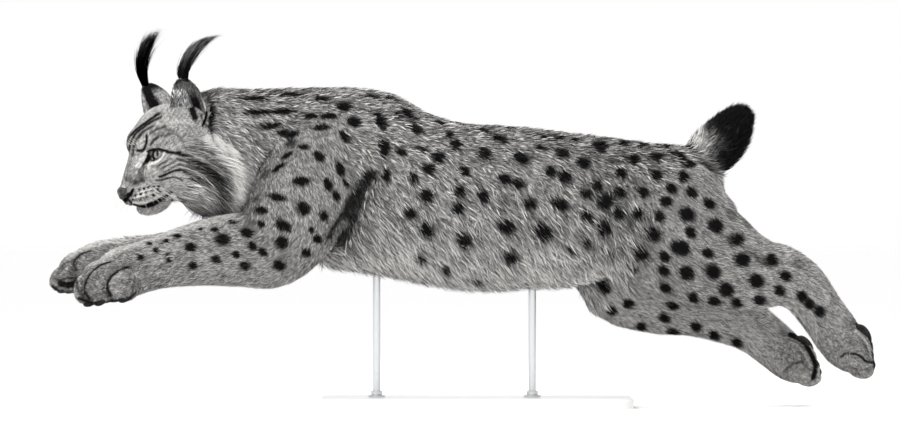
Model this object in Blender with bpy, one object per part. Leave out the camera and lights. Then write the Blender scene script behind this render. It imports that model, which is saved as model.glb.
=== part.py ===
"""Eurasian lynx in full leap, life size, on a plain display stand.

Metres, +Z up. The nose points to -X and the animal's left side faces -Y. The origin is on the
floor under the middle of the whole piece. The body is laid out in millimetres and scaled once.
"""

import math
from collections import namedtuple

import bmesh
import bpy
import numpy as np
from mathutils import Matrix, Vector
from mathutils.bvhtree import BVHTree

# Driving dimensions, in metres
MM = 0.001
GAP = 0.0003
BASE_LENGTH = 0.56
BASE_WIDTH = 0.30
BASE_HEIGHT = 0.018
BASE_CORNER = 0.030
BASE_EDGE = 0.003
BASE_MIDDLE_X = 0.030
ROD_RADIUS = 0.007
ROD_PLACES = {"stand_rod_front": -0.150, "stand_rod_rear": 0.130}
ROD_TOP = 0.290

# How finely each fused skin is made, how much it is evened out, and its triangles
Skin = namedtuple("Skin", "voxel rounds swell triangles")
BODY_SKIN = Skin(0.006, 8, 0.003, 2650)
SKULL_SKIN = Skin(0.005, 16, 0.003, 9000)
HEAD_SKIN = Skin(0.0025, 10, 0.0012, 2000)
PAW_SKIN = Skin(0.0030, 8, 0.0025, 900)

# Where the head sits: its own frame runs forward, left and up from here, turned to the left
HEAD_PLACE = (-510.0, -26.0, 450.0)
HEAD_YAW = math.radians(20.0)

# Trunk and neck: distance along X, top, bottom, half width, sideways shift, in millimetres
Slice = namedtuple("Slice", "x top bottom half shift")
TRUNK = [
    Slice(-345, 568, 320, 70, 0),
    Slice(-290, 571, 290, 88, 0),
    Slice(-240, 571, 262, 97, 0),
    Slice(-180, 570, 250, 103, 0),
    Slice(-120, 558, 240, 107, 0),
    Slice(-60, 526, 228, 110, 0),
    Slice(0, 508, 219, 110, 0),
    Slice(60, 503, 217, 108, 0),
    Slice(120, 499, 221, 103, 0),
    Slice(180, 492, 223, 98, 0),
    Slice(240, 485, 236, 95, 0),
    Slice(300, 477, 256, 94, 0),
    Slice(350, 471, 280, 92, 0),
    Slice(400, 464, 310, 82, 0),
    Slice(431, 438, 344, 60, 0),
]
NECK = [
    Slice(-290, 571, 300, 86, 0),
    Slice(-345, 569, 322, 82, 0),
    Slice(-400, 569, 345, 76, -4),
    Slice(-440, 569, 360, 70, -9),
    Slice(-480, 558, 378, 46, -12),
]

# Limbs: middle of each section, half size in the side view, half size across, in millimetres
Ring = namedtuple("Ring", "x y z tall wide")
FORELEG_LEFT = [
    Ring(-212, -62, 508, 50, 24),
    Ring(-238, -74, 455, 78, 34),
    Ring(-270, -82, 398, 93, 38),
    Ring(-302, -86, 335, 88, 39),
    Ring(-336, -86, 290, 74, 39),
    Ring(-388, -85, 284, 66, 39),
    Ring(-440, -84, 280, 60, 37),
    Ring(-500, -83, 270, 51, 33),
    Ring(-555, -82, 256, 44, 31),
    Ring(-600, -82, 243, 44, 35),
    Ring(-626, -84, 232, 38, 38),
]
FORELEG_RIGHT = [
    Ring(-212, 62, 508, 50, 24),
    Ring(-240, 74, 455, 76, 34),
    Ring(-276, 82, 398, 88, 38),
    Ring(-315, 86, 340, 80, 39),
    Ring(-360, 86, 304, 68, 39),
    Ring(-420, 84, 290, 60, 38),
    Ring(-480, 82, 277, 52, 35),
    Ring(-540, 80, 268, 43, 32),
    Ring(-600, 79, 264, 42, 31),
    Ring(-652, 78, 254, 42, 34),
    Ring(-680, 78, 246, 37, 38),
]
HINDLEG_LEFT = [
    Ring(366, -50, 378, 92, 52),
    Ring(415, -64, 293, 105, 50),
    Ring(477, -70, 257, 87, 42),
    Ring(532, -71, 241, 65, 35),
    Ring(575, -71, 236, 54, 31),
    Ring(611, -71, 216, 46, 29),
    Ring(641, -71, 179, 41, 28),
    Ring(671, -71, 136, 40, 31),
    Ring(690, -72, 108, 38, 36),
]
HINDLEG_RIGHT = [
    Ring(340, 50, 345, 92, 52),
    Ring(290, 62, 250, 92, 48),
    Ring(360, 68, 207, 77, 42),
    Ring(428, 69, 184, 58, 36),
    Ring(488, 70, 162, 50, 32),
    Ring(530, 70, 140, 44, 29),
    Ring(566, 70, 112, 40, 28),
    Ring(590, 70, 91, 38, 31),
    Ring(603, 71, 80, 36, 35),
]
TAIL = [
    Ring(412, 0, 416, 40, 38),
    Ring(446, 0, 453, 41, 37),
    Ring(471, 0, 477, 40, 37),
    Ring(489, 0, 500, 35, 33),
    Ring(500, 0, 515, 27, 26),
]

# Lumps of muscle and bone under the coat: middle, half sizes, pitch in degrees
Lump = namedtuple("Lump", "x y z rx ry rz pitch")
BODY_LUMPS = [
    Lump(-275, -60, 420, 92, 46, 112, 18),
    Lump(-275, 60, 420, 92, 46, 112, 18),
    Lump(345, -54, 330, 122, 50, 118, 10),
    Lump(335, 54, 310, 120, 50, 112, 10),
    Lump(-380, 0, 388, 70, 50, 44, -20),
    Lump(262, 62, 226, 70, 42, 38, 24),
]

# The head, forward, left and up from its own place, in millimetres: first the broad forms of
# skull and cheeks, then the smaller ones of brow, muzzle and chin
SKULL_LUMPS = [
    Lump(12, 0, 33, 64, 60, 60, 0),
    Lump(54, 0, 24, 37, 37, 34, 0),
    Lump(-36, 0, 30, 54, 66, 78, 0),
    Lump(-4, 0, -50, 46, 48, 36, 0),
]
SKULL_PAIRS = [
    Lump(-12, 38, 18, 50, 36, 48, 0),
    Lump(4, 40, -30, 50, 38, 48, 0),
    Lump(-44, 46, -26, 48, 40, 62, 0),
    Lump(40, 30, -32, 30, 25, 27, 0),
    Lump(-24, 43, 52, 40, 26, 32, 0),
]
FACE_LUMPS = [
    Lump(98, 0, -61, 13, 17.5, 13, 10),
    Lump(85, 0, -74, 15, 15, 13, 0),
    Lump(50, 0, -87, 28, 24, 19, 4),
    Lump(22, 0, -73, 32, 28, 15, -10),
]
FACE_PAIRS = [
    Lump(62, 14, 18, 23, 17, 14, 15),
    Lump(46, 32, 19, 18, 15, 10, 12),
    Lump(64, 20, -65, 34, 22, 21, 13),
    Lump(18, 26, -68, 46, 24, 23, 8),
    Lump(37.5, 31, 3.5, 16.8, 16.8, 16.8, 0),
]
BRIDGE = [
    Ring(52, 0, 18, 32, 31),
    Ring(65, 0, -11, 25, 25),
    Ring(76, 0, -35, 22, 22),
    Ring(87, 0, -54, 17, 18.5),
]

# Eyes: middle of each ball in the head's frame, its size, the way it looks, and the almond
# opening between its lids, whose outer corner is raised
EYE_RADIUS = 14.4
EYE_MIDDLE = (37.5, 31.0, 3.5)
EYE_LOOK = (0.80, 0.60, 0.04)
LID_HALF_LENGTH = 14.0
LID_RISE = 9.0
LID_DROP = 8.8
LID_ROLL = 26.0
LID_GAP = 0.6
MOUTH = [
    (101, 0, -74),
    (92, 0, -84),
    (85, 8, -88),
    (74, 18, -89),
    (58, 26, -86),
    (40, 30, -79),
    (25, 33, -71),
]
NOSTRIL = [Ring(112, 4, -63, 3, 3), Ring(105, 8, -66, 3, 3), Ring(99, 12, -63, 2, 2)]

# Toes from the outer to the inner one: ahead, across and high of the paw's middle, half sizes
TOES = [
    (6, -35, -5, 29, 16.5, 22),
    (20, -12, -1, 29, 16.5, 22),
    (20, 12, -1, 29, 16.5, 22),
    (9, 33, -5, 29, 16.5, 22),
]
BENT_TOES = [
    (-12, -40, -15, 28, 20, 27),
    (19, -14, -3, 27, 17, 29),
    (22, 11, -2, 27, 16.5, 26),
    (10, 33, -5, 27, 16.5, 24),
]
# Paws: middle, the way the toes point, the way the back of the paw faces, its size
Paw = namedtuple("Paw", "name limb source place toes back scale cut facing digits")
PAWS = [
    Paw("paw_front_left", FORELEG_LEFT, "foreleg_left_lower", (-638, -86, 226),
        (-0.74, -0.58, -0.34), (-0.30, 0.0, 1.0), 1.06, (-588, 0, 247), (-1, 0, -0.2), BENT_TOES),
    Paw("paw_front_right", FORELEG_RIGHT, "foreleg_right_lower", (-692, 78, 239),
        (-0.94, -0.16, -0.28), (-0.28, 0.0, 1.0), 1.04, (-646, 0, 254), (-1, 0, -0.15), TOES),
    Paw("paw_hind_left", HINDLEG_LEFT, "hindleg_left_shank", (702, -72, 101),
        (0.46, -0.10, -0.88), (-0.88, 0.0, -0.46), 1.06, (606, 0, 222), (0.45, 0, -0.9), TOES),
    Paw("paw_hind_right", HINDLEG_RIGHT, "hindleg_right_shank", (611, 72, 78),
        (0.62, -0.06, -0.78), (-0.78, 0.0, -0.62), 1.03, (527, 0, 142), (0.7, 0, -0.7), TOES),
]
PALM = (-6, 0, 1, 38, 46, 36)

# Ears: base, tip direction, the way the cup opens, the line of the tuft
Ear = namedtuple("Ear", "name base up open tuft")
EAR_HEIGHT = 84.0
EAR_HALF_WIDTH = 38.0
EAR_WALL = 4.5
EARS = [
    Ear(
        "ear_left",
        (-483, -66, 508),
        (-0.19, -0.10, 0.98),
        (-0.36, -0.93, 0.05),
        [
            (-498, -76, 578),
            (-496, -79, 600),
            (-488, -82, 621),
            (-474, -86, 642),
            (-456, -89, 658),
            (-436, -91, 668),
        ],
    ),
    Ear(
        "ear_right",
        (-528, 15, 508),
        (-0.46, 0.12, 0.88),
        (-0.62, 0.78, 0.05),
        [
            (-568, 25, 576),
            (-573, 27, 600),
            (-573, 30, 622),
            (-568, 33, 643),
            (-559, 36, 664),
            (-547, 38, 683),
        ],
    ),
]

# Locks of long coat: how many segments each has and how thick it is
LOCK_PARTS = 3
LOCK_THICKNESS = 6.0
LOCK_TAPER = [0.8, 1.0, 0.70, 0.0]
TUFT_LOCKS = 4
TUFT_PARTS = 4
TUFT_SPREAD = 5.0
TUFT_WIDTHS = [10.0, 12.0, 12.0, 8.0]
# Ruff: how far ahead a tier stands, its locks' size and lift, how many, between which angles
RuffTier = namedtuple("RuffTier", "ahead length width lift count first last")
RUFF_TIERS = [
    RuffTier(-40, 92, 40, 14, 6, 72, 174),
    RuffTier(-12, 76, 34, 11, 5, 80, 158),
    RuffTier(14, 52, 27, 7, 3, 98, 138),
]
BELLY_ROWS = (-46, 0, 46)
BELLY_SPACING = 46.0
BELLY_LENGTH = 58.0
BELLY_WIDTH = 42.0

COLOURS = {
    "coat": ((0.36, 0.35, 0.335, 1.0), 0.85, 0.0),
    "black_coat": ((0.03, 0.03, 0.03, 1.0), 0.8, 0.0),
    "eye": ((0.35, 0.34, 0.26, 1.0), 0.1, 0.0),
    "base": ((0.78, 0.78, 0.77, 1.0), 0.5, 0.0),
    "rod": ((0.55, 0.56, 0.57, 1.0), 0.3, 1.0),
}


def material(name):
    """The named Principled material, made once."""
    found = bpy.data.materials.get(name)
    if found:
        return found
    colour, roughness, metallic = COLOURS[name]
    made = bpy.data.materials.new(name)
    made.use_nodes = True
    shader = made.node_tree.nodes["Principled BSDF"]
    shader.inputs["Base Color"].default_value = colour
    shader.inputs["Roughness"].default_value = roughness
    shader.inputs["Metallic"].default_value = metallic
    return made


def link(name, mesh):
    """An object for a mesh, in the scene."""
    made = bpy.data.objects.new(name, mesh)
    bpy.context.scene.collection.objects.link(made)
    return made


def from_bmesh(name, shape):
    """An object from an edited mesh, which is let go."""
    mesh = bpy.data.meshes.new(name)
    shape.to_mesh(mesh)
    shape.free()
    return link(name, mesh)


def new_object(name, points, faces):
    """A mesh object from points in metres, with its faces turned outwards."""
    mesh = bpy.data.meshes.new(name)
    mesh.from_pydata([tuple(p) for p in points], [], faces)
    shape = bmesh.new()
    shape.from_mesh(mesh)
    bmesh.ops.recalc_face_normals(shape, faces=shape.faces)
    return from_bmesh(name, shape)


def bake(obj):
    """Applies an object's modifiers."""
    graph = bpy.context.evaluated_depsgraph_get()
    mesh = bpy.data.meshes.new_from_object(obj.evaluated_get(graph))
    obj.modifiers.clear()
    obj.data = mesh
    return obj


def remove(objects):
    """Takes helper objects out of the scene."""
    for old in list(objects):
        bpy.data.objects.remove(old)


def boolean(target, tool, operation, solver="EXACT"):
    """Applies one Boolean with another object and keeps the other object."""
    step = target.modifiers.new("Boolean", "BOOLEAN")
    step.operation = operation
    step.object = tool
    step.solver = solver
    return bake(target)


def join_pieces(target, pieces, solver="MANIFOLD"):
    """Fuses closed pieces to a node in one Boolean union, then removes the pieces."""
    group = bpy.data.collections.new("pieces")
    for piece in pieces:
        group.objects.link(piece)
    step = target.modifiers.new("Union", "BOOLEAN")
    step.operation = "UNION"
    step.operand_type = "COLLECTION"
    step.collection = group
    step.solver = solver
    bake(target)
    remove(pieces)
    bpy.data.collections.remove(group)
    return largest_only(target)


def smooth_values(rows, steps):
    """Catmull-Rom points through rows of numbers, steps to each stretch."""
    rows = np.array(rows, float)
    padded = np.vstack([2 * rows[0] - rows[1], rows, 2 * rows[-1] - rows[-2]])
    made = []
    for i in range(1, len(padded) - 2):
        a, b, c, d = padded[i - 1 : i + 3]
        for t in np.arange(steps) / steps:
            cubic = 3 * b - a - 3 * c + d
            made.append(0.5 * (2 * b + (c - a) * t + (2 * a - 5 * b + 4 * c - d) * t**2 + cubic * t**3))
    made.append(rows[-1])
    return np.array(made)


def tube(name, centres, tall_axes, wide_axes, talls, wides, sides=24, squareness=2.2):
    """A closed tube of superellipse sections with rounded ends, sizes in millimetres."""
    turn = np.linspace(0, 2 * math.pi, sides, endpoint=False)
    power = 2 / squareness
    tall_part = np.sign(np.sin(turn)) * np.abs(np.sin(turn)) ** power
    wide_part = np.sign(np.cos(turn)) * np.abs(np.cos(turn)) ** power
    count = len(centres)
    body = []
    for i in range(count):
        tall_reach = np.outer(tall_part * talls[i], tall_axes[i])
        body.append(centres[i] + tall_reach + np.outer(wide_part * wides[i], wide_axes[i]))
    caps, poles = [], []
    for i, sign in ((0, -1), (count - 1, 1)):
        along = np.cross(tall_axes[i], wide_axes[i])
        inward = centres[min(i + 1, count - 1)] - centres[max(i - 1, 0)]
        along = along * np.sign(along @ inward) * sign
        reach = min(talls[i], wides[i]) * 0.85
        dome = []
        for t in (0.5, 0.95, 1.3):
            dome.append(centres[i] + (body[i] - centres[i]) * math.cos(t) + along * reach * math.sin(t))
        caps.append(dome)
        poles.append(centres[i] + along * reach)
    rings = list(reversed(caps[0])) + body + caps[1]
    flat = [p * MM for ring in rings for p in ring]
    first, last = len(flat), len(flat) + 1
    flat += [pole * MM for pole in poles]
    faces = []
    for r in range(len(rings) - 1):
        for s in range(sides):
            a, b = r * sides + s, r * sides + (s + 1) % sides
            faces.append((a, b, b + sides, a + sides))
    base = (len(rings) - 1) * sides
    for s in range(sides):
        faces.append((first, (s + 1) % sides, s))
        faces.append((last, base + s, base + (s + 1) % sides))
    return new_object(name, flat, faces)


def sliced(name, slices):
    """A tube of upright sections along X, from Slice rows."""
    rows = smooth_values(slices, 4)
    centres = np.stack([rows[:, 0], rows[:, 4], (rows[:, 1] + rows[:, 2]) / 2], axis=1)
    count = len(rows)
    up = np.tile([0.0, 0.0, 1.0], (count, 1))
    across = np.tile([0.0, 1.0, 0.0], (count, 1))
    return tube(name, centres, up, across, (rows[:, 1] - rows[:, 2]) / 2, rows[:, 3])


def limb(name, rings, sides=20, steps=4):
    """A tube along a limb, from Ring rows, whose sections stand square to its path."""
    rows = smooth_values(rings, steps)
    centres = rows[:, :3]
    along = np.gradient(centres, axis=0)
    along /= np.linalg.norm(along, axis=1)[:, None]
    across = np.tile([0.0, 1.0, 0.0], (len(rows), 1))
    across -= along * (across * along).sum(1)[:, None]
    across /= np.linalg.norm(across, axis=1)[:, None]
    up = np.cross(along, across)
    return tube(name, centres, up, across, rows[:, 3], rows[:, 4], sides)


def lump(name, row, frame=Matrix.Identity(4), subdivisions=3):
    """An ellipsoid from a Lump row, in a frame of its own."""
    shape = bmesh.new()
    bmesh.ops.create_icosphere(shape, subdivisions=subdivisions, radius=1.0)
    place = Matrix.Translation(Vector((row.x, row.y, row.z)) * MM)
    turn = Matrix.Rotation(math.radians(row.pitch), 4, "Y")
    size = Matrix.Diagonal((row.rx * MM, row.ry * MM, row.rz * MM, 1))
    bmesh.ops.transform(shape, matrix=frame @ place @ turn @ size, verts=shape.verts)
    return from_bmesh(name, shape)


def frame_of(forward, across, up, place):
    """A matrix whose columns are three directions and a place in millimetres."""
    rows = [[forward[i], across[i], up[i], place[i] * MM] for i in range(3)]
    return Matrix(rows + [[0, 0, 0, 1]])


def head_frame():
    """The head's frame in metres: X forward, Y to the animal's left, Z up."""
    forward = Vector((-math.cos(HEAD_YAW), -math.sin(HEAD_YAW), 0))
    left = Vector((math.sin(HEAD_YAW), -math.cos(HEAD_YAW), 0))
    return frame_of(forward, left, Vector((0, 0, 1)), HEAD_PLACE)


def paw_frame(paw):
    """A paw's frame: X along the toes, Y across, Z out of the back of the paw."""
    toes = Vector(paw.toes).normalized()
    across = Vector(paw.back).cross(toes).normalized()
    return frame_of(toes, across, toes.cross(across), paw.place)


def joined(name, objects):
    """One object that holds all the given meshes, which still overlap."""
    shape = bmesh.new()
    for obj in objects:
        shape.from_mesh(obj.data)
    remove(objects)
    return from_bmesh(name, shape)


def points_of(mesh):
    """A mesh's points as an array."""
    points = np.empty(len(mesh.vertices) * 3)
    mesh.vertices.foreach_get("co", points)
    return points.reshape(-1, 3)


def relax(obj, rounds, factor=0.5):
    """Evens out a mesh by moving each point towards the middle of its neighbours."""
    mesh = obj.data
    points = points_of(mesh)
    edges = np.empty(len(mesh.edges) * 2, np.int64)
    mesh.edges.foreach_get("vertices", edges)
    a, b = edges.reshape(-1, 2).T
    count = np.bincount(np.concatenate([a, b]), minlength=len(points))[:, None]
    for _ in range(rounds):
        total = np.zeros_like(points)
        np.add.at(total, a, points[b])
        np.add.at(total, b, points[a])
        points += factor * (total / count - points)
    mesh.vertices.foreach_set("co", points.ravel())
    mesh.update()
    return obj


def swell(obj, distance):
    """Moves a surface outwards along its normals."""
    mesh = obj.data
    normals = np.empty(len(mesh.vertices) * 3, np.float32)
    mesh.vertex_normals.foreach_get("vector", normals)
    mesh.vertices.foreach_set("co", points_of(mesh).ravel() + normals * distance)
    mesh.update()
    return obj


def fused(name, objects, skin):
    """One even closed skin over overlapping shapes, thinned to about so many triangles."""
    made = joined(name, objects)
    step = made.modifiers.new("Remesh", "REMESH")
    step.mode = "VOXEL"
    step.voxel_size = skin.voxel
    bake(made)
    relax(made, skin.rounds)
    swell(made, skin.swell)
    step = made.modifiers.new("Decimate", "DECIMATE")
    step.ratio = skin.triangles / (2 * len(made.data.polygons))
    step.use_collapse_triangulate = True
    return bake(made)


def duplicate(obj, name):
    """A copy of an object with its own mesh."""
    return link(name, obj.data.copy())


def prism(outline, low_y, high_y, grow=0.0):
    """A closed block over an XZ outline in millimetres, between two Y planes, grown outwards."""
    ring = np.array(outline, float)
    ahead, behind = np.roll(ring, -1, 0) - ring, ring - np.roll(ring, 1, 0)
    area = 0.5 * np.sum(ring[:, 0] * np.roll(ring[:, 1], -1) - np.roll(ring[:, 0], -1) * ring[:, 1])
    normals = []
    for edge in (ahead, behind):
        normal = np.stack([edge[:, 1], -edge[:, 0]], 1) * np.sign(area)
        normals.append(normal / np.linalg.norm(normal, axis=1)[:, None])
    corner = normals[0] + normals[1]
    corner /= (corner * normals[0]).sum(1)[:, None]
    ring = ring * MM + corner * grow
    low, high = low_y * MM - grow, high_y * MM + grow
    count = len(ring)
    points = [(x, y, z) for y in (low, high) for x, z in ring]
    faces = [tuple(range(count)), tuple(range(count, 2 * count))]
    faces += [(i, (i + 1) % count, count + (i + 1) % count, count + i) for i in range(count)]
    return new_object("cutter", points, faces)


def largest_only(obj):
    """Keeps an object's largest closed surface."""
    shape = bmesh.new()
    shape.from_mesh(obj.data)
    seen, groups = set(), []
    for start in shape.verts:
        if start in seen:
            continue
        group, stack = [], [start]
        seen.add(start)
        while stack:
            vert = stack.pop()
            group.append(vert)
            for edge in vert.link_edges:
                other = edge.other_vert(vert)
                if other not in seen:
                    seen.add(other)
                    stack.append(other)
        groups.append(group)
    groups.sort(key=len, reverse=True)
    for group in groups[1:]:
        bmesh.ops.delete(shape, geom=group, context="VERTS")
    shape.to_mesh(obj.data)
    shape.free()
    return obj


def carve_off(body, name, outline, low_y, high_y):
    """Takes the part of the body inside a block off as a node of its own, with a thin gap."""
    inner = prism(outline, low_y, high_y, -GAP / 2)
    outer = prism(outline, low_y, high_y, GAP / 2)
    piece = boolean(duplicate(body, name), inner, "INTERSECT")
    boolean(body, outer, "DIFFERENCE")
    remove([inner, outer])
    largest_only(body)
    return largest_only(piece)


def keep_side(obj, point, normal, offset):
    """Cuts an object at a plane in millimetres and keeps what lies along the normal."""
    normal = Vector(normal).normalized()
    shape = bmesh.new()
    shape.from_mesh(obj.data)
    bmesh.ops.bisect_plane(
        shape,
        geom=shape.verts[:] + shape.edges[:] + shape.faces[:],
        dist=1e-7,
        plane_co=Vector(point) * MM + normal * offset,
        plane_no=normal,
        clear_inner=True,
    )
    rim = [edge for edge in shape.edges if len(edge.link_faces) == 1]
    bmesh.ops.triangle_fill(shape, use_beauty=True, use_dissolve=False, edges=rim)
    bmesh.ops.recalc_face_normals(shape, faces=shape.faces)
    shape.to_mesh(obj.data)
    shape.free()
    return obj


def split(obj, name, point, normal):
    """Parts an object at a plane: what lies along the normal becomes a new node."""
    ahead = keep_side(duplicate(obj, name), point, normal, GAP / 2)
    keep_side(obj, point, -Vector(normal), GAP / 2)
    return ahead


def cut_clear(obj, other):
    """Cuts an object back so that it keeps the thin gap to another."""
    grown = swell(duplicate(other, other.name + "_grown"), GAP)
    boolean(obj, grown, "DIFFERENCE")
    remove([grown])
    return largest_only(obj)


def tree_of(obj):
    """A search tree over an object's faces."""
    shape = bmesh.new()
    shape.from_mesh(obj.data)
    tree = BVHTree.FromBMesh(shape)
    shape.free()
    return tree


def lock(points, widths, outwards, thickness=LOCK_THICKNESS):
    """A flat tapered lock through points in metres, lying across the outward directions."""
    verts, faces = [], []
    count = len(points) - 1
    for i in range(count):
        along = (points[i + 1] - points[max(i - 1, 0)]).normalized()
        side = along.cross(outwards[i]).normalized() * widths[i] * MM / 2
        out = side.cross(along).normalized() * thickness * MM / 2
        out *= 1 - 0.6 * i / count
        verts += [points[i] + side, points[i] + out, points[i] - side, points[i] - out]
    verts.append(points[-1])
    faces.append((0, 1, 2, 3))
    for i in range(count - 1):
        for j in range(4):
            a, b = 4 * i + j, 4 * i + (j + 1) % 4
            faces.append((a, b, b + 4, a + 4))
    tip = len(verts) - 1
    for j in range(4):
        faces.append((4 * (count - 1) + j, 4 * (count - 1) + (j + 1) % 4, tip))
    return new_object("lock", verts, faces)


def lay_lock(trees, root, lie, length, width, lift, sag, rng, depth=8.0):
    """A lock that leaves its root under the surface, follows it and rises towards its tip."""
    host, spot = trees[0], Vector(root)
    near, normal, _, _ = host.find_nearest(spot)
    side = Vector(lie).cross(normal).normalized()
    lie = (Vector(lie) - normal * Vector(lie).dot(normal)).normalized()
    bend = rng.uniform(-0.30, 0.30)
    points = [near - normal * depth * MM - lie * depth * 0.6 * MM]
    outwards = [normal]
    place = near
    for i in range(1, LOCK_PARTS + 1):
        t = i / LOCK_PARTS
        way = (lie + side * bend * t + Vector((0, 0, -1)) * sag * t).normalized()
        place = place + way * length * MM / LOCK_PARTS
        height = (LOCK_THICKNESS * 0.5 + 1.0 + lift * t**1.3) * MM
        for tree in trees:
            near, out, _, distance = tree.find_nearest(place)
            signed = (place - near).dot(out)
            if signed < height:
                place = near + out * height
                normal = (normal + out).normalized()
        points.append(place)
        outwards.append(normal)
    return lock(points, [width * part for part in LOCK_TAPER], outwards)


def box_of(obj):
    """The lowest and highest corner of an object's own box."""
    points = points_of(obj.data)
    return points.min(0), points.max(0)


def grown_copies(objects):
    """Copies of some nodes, each larger by the thin gap all round."""
    return [swell(duplicate(obj, obj.name + "_grown"), GAP) for obj in objects]


def trimmed(pieces, blockers):
    """Cuts locks back where they would run into the grown copies of their neighbours."""
    kept = []
    for piece in pieces:
        for blocker in blockers:
            low, high = box_of(piece)
            other_low, other_high = box_of(blocker)
            if (low < other_high).all() and (other_low < high).all():
                boolean(piece, blocker, "DIFFERENCE", "MANIFOLD")
                if not piece.data.polygons:
                    break
        if piece.data.polygons:
            kept.append(largest_only(piece))
        else:
            remove([piece])
    return kept


def ear_shell(ear):
    """The cup of an ear: a curved wall, wide at its root and drawn to a point."""
    up = Vector(ear.up).normalized()
    opening = Vector(ear.open)
    opening = (opening - up * opening.dot(up)).normalized()
    across = up.cross(opening)
    rows, columns = 8, 8
    walls = []
    for inset in (0.0, 1.0):
        for i in range(rows + 1):
            v = i / rows
            rise_in = min(1.0, v / 0.4)
            half = EAR_HALF_WIDTH * (0.62 + 0.38 * math.sin(rise_in * math.pi / 2))
            half = half * (1 - v**2.4) ** 0.62 + 3.5 * v
            half -= inset * EAR_WALL * 0.6
            bend = math.radians(108 - 56 * v)
            deep = 0.72 * half * (1 - 0.35 * v)
            rise = EAR_HEIGHT * v - inset * EAR_WALL * 0.8 * v - (1 - v) * 14
            for j in range(columns + 1):
                turn = bend * (2 * j / columns - 1)
                side = half * math.sin(turn) / math.sin(min(bend, math.pi / 2))
                back = inset * EAR_WALL - deep * math.cos(turn)
                walls.append((Vector(ear.base) + up * rise + across * side + opening * back) * MM)
    width = columns + 1
    layer = (rows + 1) * width
    faces = []
    for i in range(rows):
        for j in range(columns):
            a = i * width + j
            faces += [(a, a + 1, a + 1 + width), (a, a + 1 + width, a + width)]
            b = a + layer
            faces += [(b, b + 1 + width, b + 1), (b, b + width, b + 1 + width)]
    for i in range(rows):
        for j in (0, columns):
            a = i * width + j
            faces.append((a, a + width, a + width + layer, a + layer))
    for j in range(columns):
        for i in (0, rows):
            a = i * width + j
            faces.append((a, a + 1, a + 1 + layer, a + layer))
    return new_object(ear.name, walls, faces)


def tuft_locks(ear, rng):
    """The bundle of locks of an ear's tuft, which part a little towards their tips."""
    line = smooth_values(ear.tuft, 2)
    opening = Vector(ear.open).normalized()
    across = Vector(ear.up).cross(opening).normalized()
    made = []
    for i in range(TUFT_LOCKS):
        turn = 2 * math.pi * i / TUFT_LOCKS
        away = across * math.cos(turn) + opening * math.sin(turn)
        reach = 1.0 if i == 0 else rng.uniform(0.72, 0.94)
        points = []
        for k, s in enumerate(np.linspace(0, (len(line) - 1) * reach, TUFT_PARTS + 1)):
            t = k / TUFT_PARTS
            low = int(min(s, len(line) - 2))
            spot = line[low] + (line[low + 1] - line[low]) * (s - low)
            spread = TUFT_SPREAD * (0.35 + math.sin(math.pi * t * 0.8))
            points.append((Vector(spot) + away * spread) * MM)
        made.append(lock(points, TUFT_WIDTHS, [away] * TUFT_PARTS, 5.5))
    return made


def paw_parts(paw):
    """The end of a limb with its palm and four toes, the outer and inner toes set back."""
    frame = paw_frame(paw)
    outward = frame.to_3x3() @ Vector((0, 1, 0))
    side = 1.0 if outward.y * paw.place[1] > 0 else -1.0
    size = paw.scale
    made = [limb(paw.name + "_limb", paw.limb)]
    made.append(lump(paw.name + "_palm", Lump(*(s * size for s in PALM), 0), frame))
    for i, (ahead, across, high, *half) in enumerate(paw.digits):
        row = Lump(ahead * size, -across * side * size, high * size, *(s * size for s in half), 16)
        made.append(lump(f"{paw.name}_toe_{i}", row, frame))
    return made


def build_paw(paw):
    """A paw cut from the skin over a limb's end."""
    made = fused(paw.name, paw_parts(paw), PAW_SKIN)
    keep_side(made, paw.cut, paw.facing, GAP / 2)
    return largest_only(made)


def build_body():
    """Trunk, neck, legs and tail in one skin."""
    parts = [sliced("trunk", TRUNK), sliced("neck_part", NECK)]
    parts += [
        limb("foreleg_left_part", FORELEG_LEFT),
        limb("foreleg_right_part", FORELEG_RIGHT),
        limb("hindleg_left_part", HINDLEG_LEFT),
        limb("hindleg_right_part", HINDLEG_RIGHT),
        limb("tail_part", TAIL),
    ]
    parts += [lump(f"muscle_{i}", row) for i, row in enumerate(BODY_LUMPS)]
    return fused("torso_chest", parts, BODY_SKIN)


def lid_window(frame, side):
    """The almond-shaped opening between the lids of an eye, as a closed cutter."""
    look = Vector((EYE_LOOK[0], EYE_LOOK[1] * side, EYE_LOOK[2])).normalized()
    up = Vector((0, 0, 1))
    up = (up - look * up.dot(look)).normalized()
    outer = look.cross(up) * -side
    roll = math.radians(LID_ROLL)
    long_way = outer * math.cos(roll) + up * math.sin(roll)
    short_way = up * math.cos(roll) - outer * math.sin(roll)
    middle = Vector((EYE_MIDDLE[0], EYE_MIDDLE[1] * side, EYE_MIDDLE[2]))
    turns = 24
    points = []
    for depth, size in ((3.0, 0.92), (34.0, 1.25)):
        for k in range(turns):
            phi = 2 * math.pi * k / turns
            high = LID_RISE if math.sin(phi) > 0 else LID_DROP
            along = math.copysign(abs(math.cos(phi)) ** 1.15, math.cos(phi)) * LID_HALF_LENGTH
            spot = middle + look * depth + (long_way * along + short_way * math.sin(phi) * high) * size
            points.append(frame @ (spot * MM))
    faces = [tuple(range(turns)), tuple(range(turns, 2 * turns))]
    faces += [(k, (k + 1) % turns, turns + (k + 1) % turns, turns + k) for k in range(turns)]
    return new_object("window", points, faces)


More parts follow.
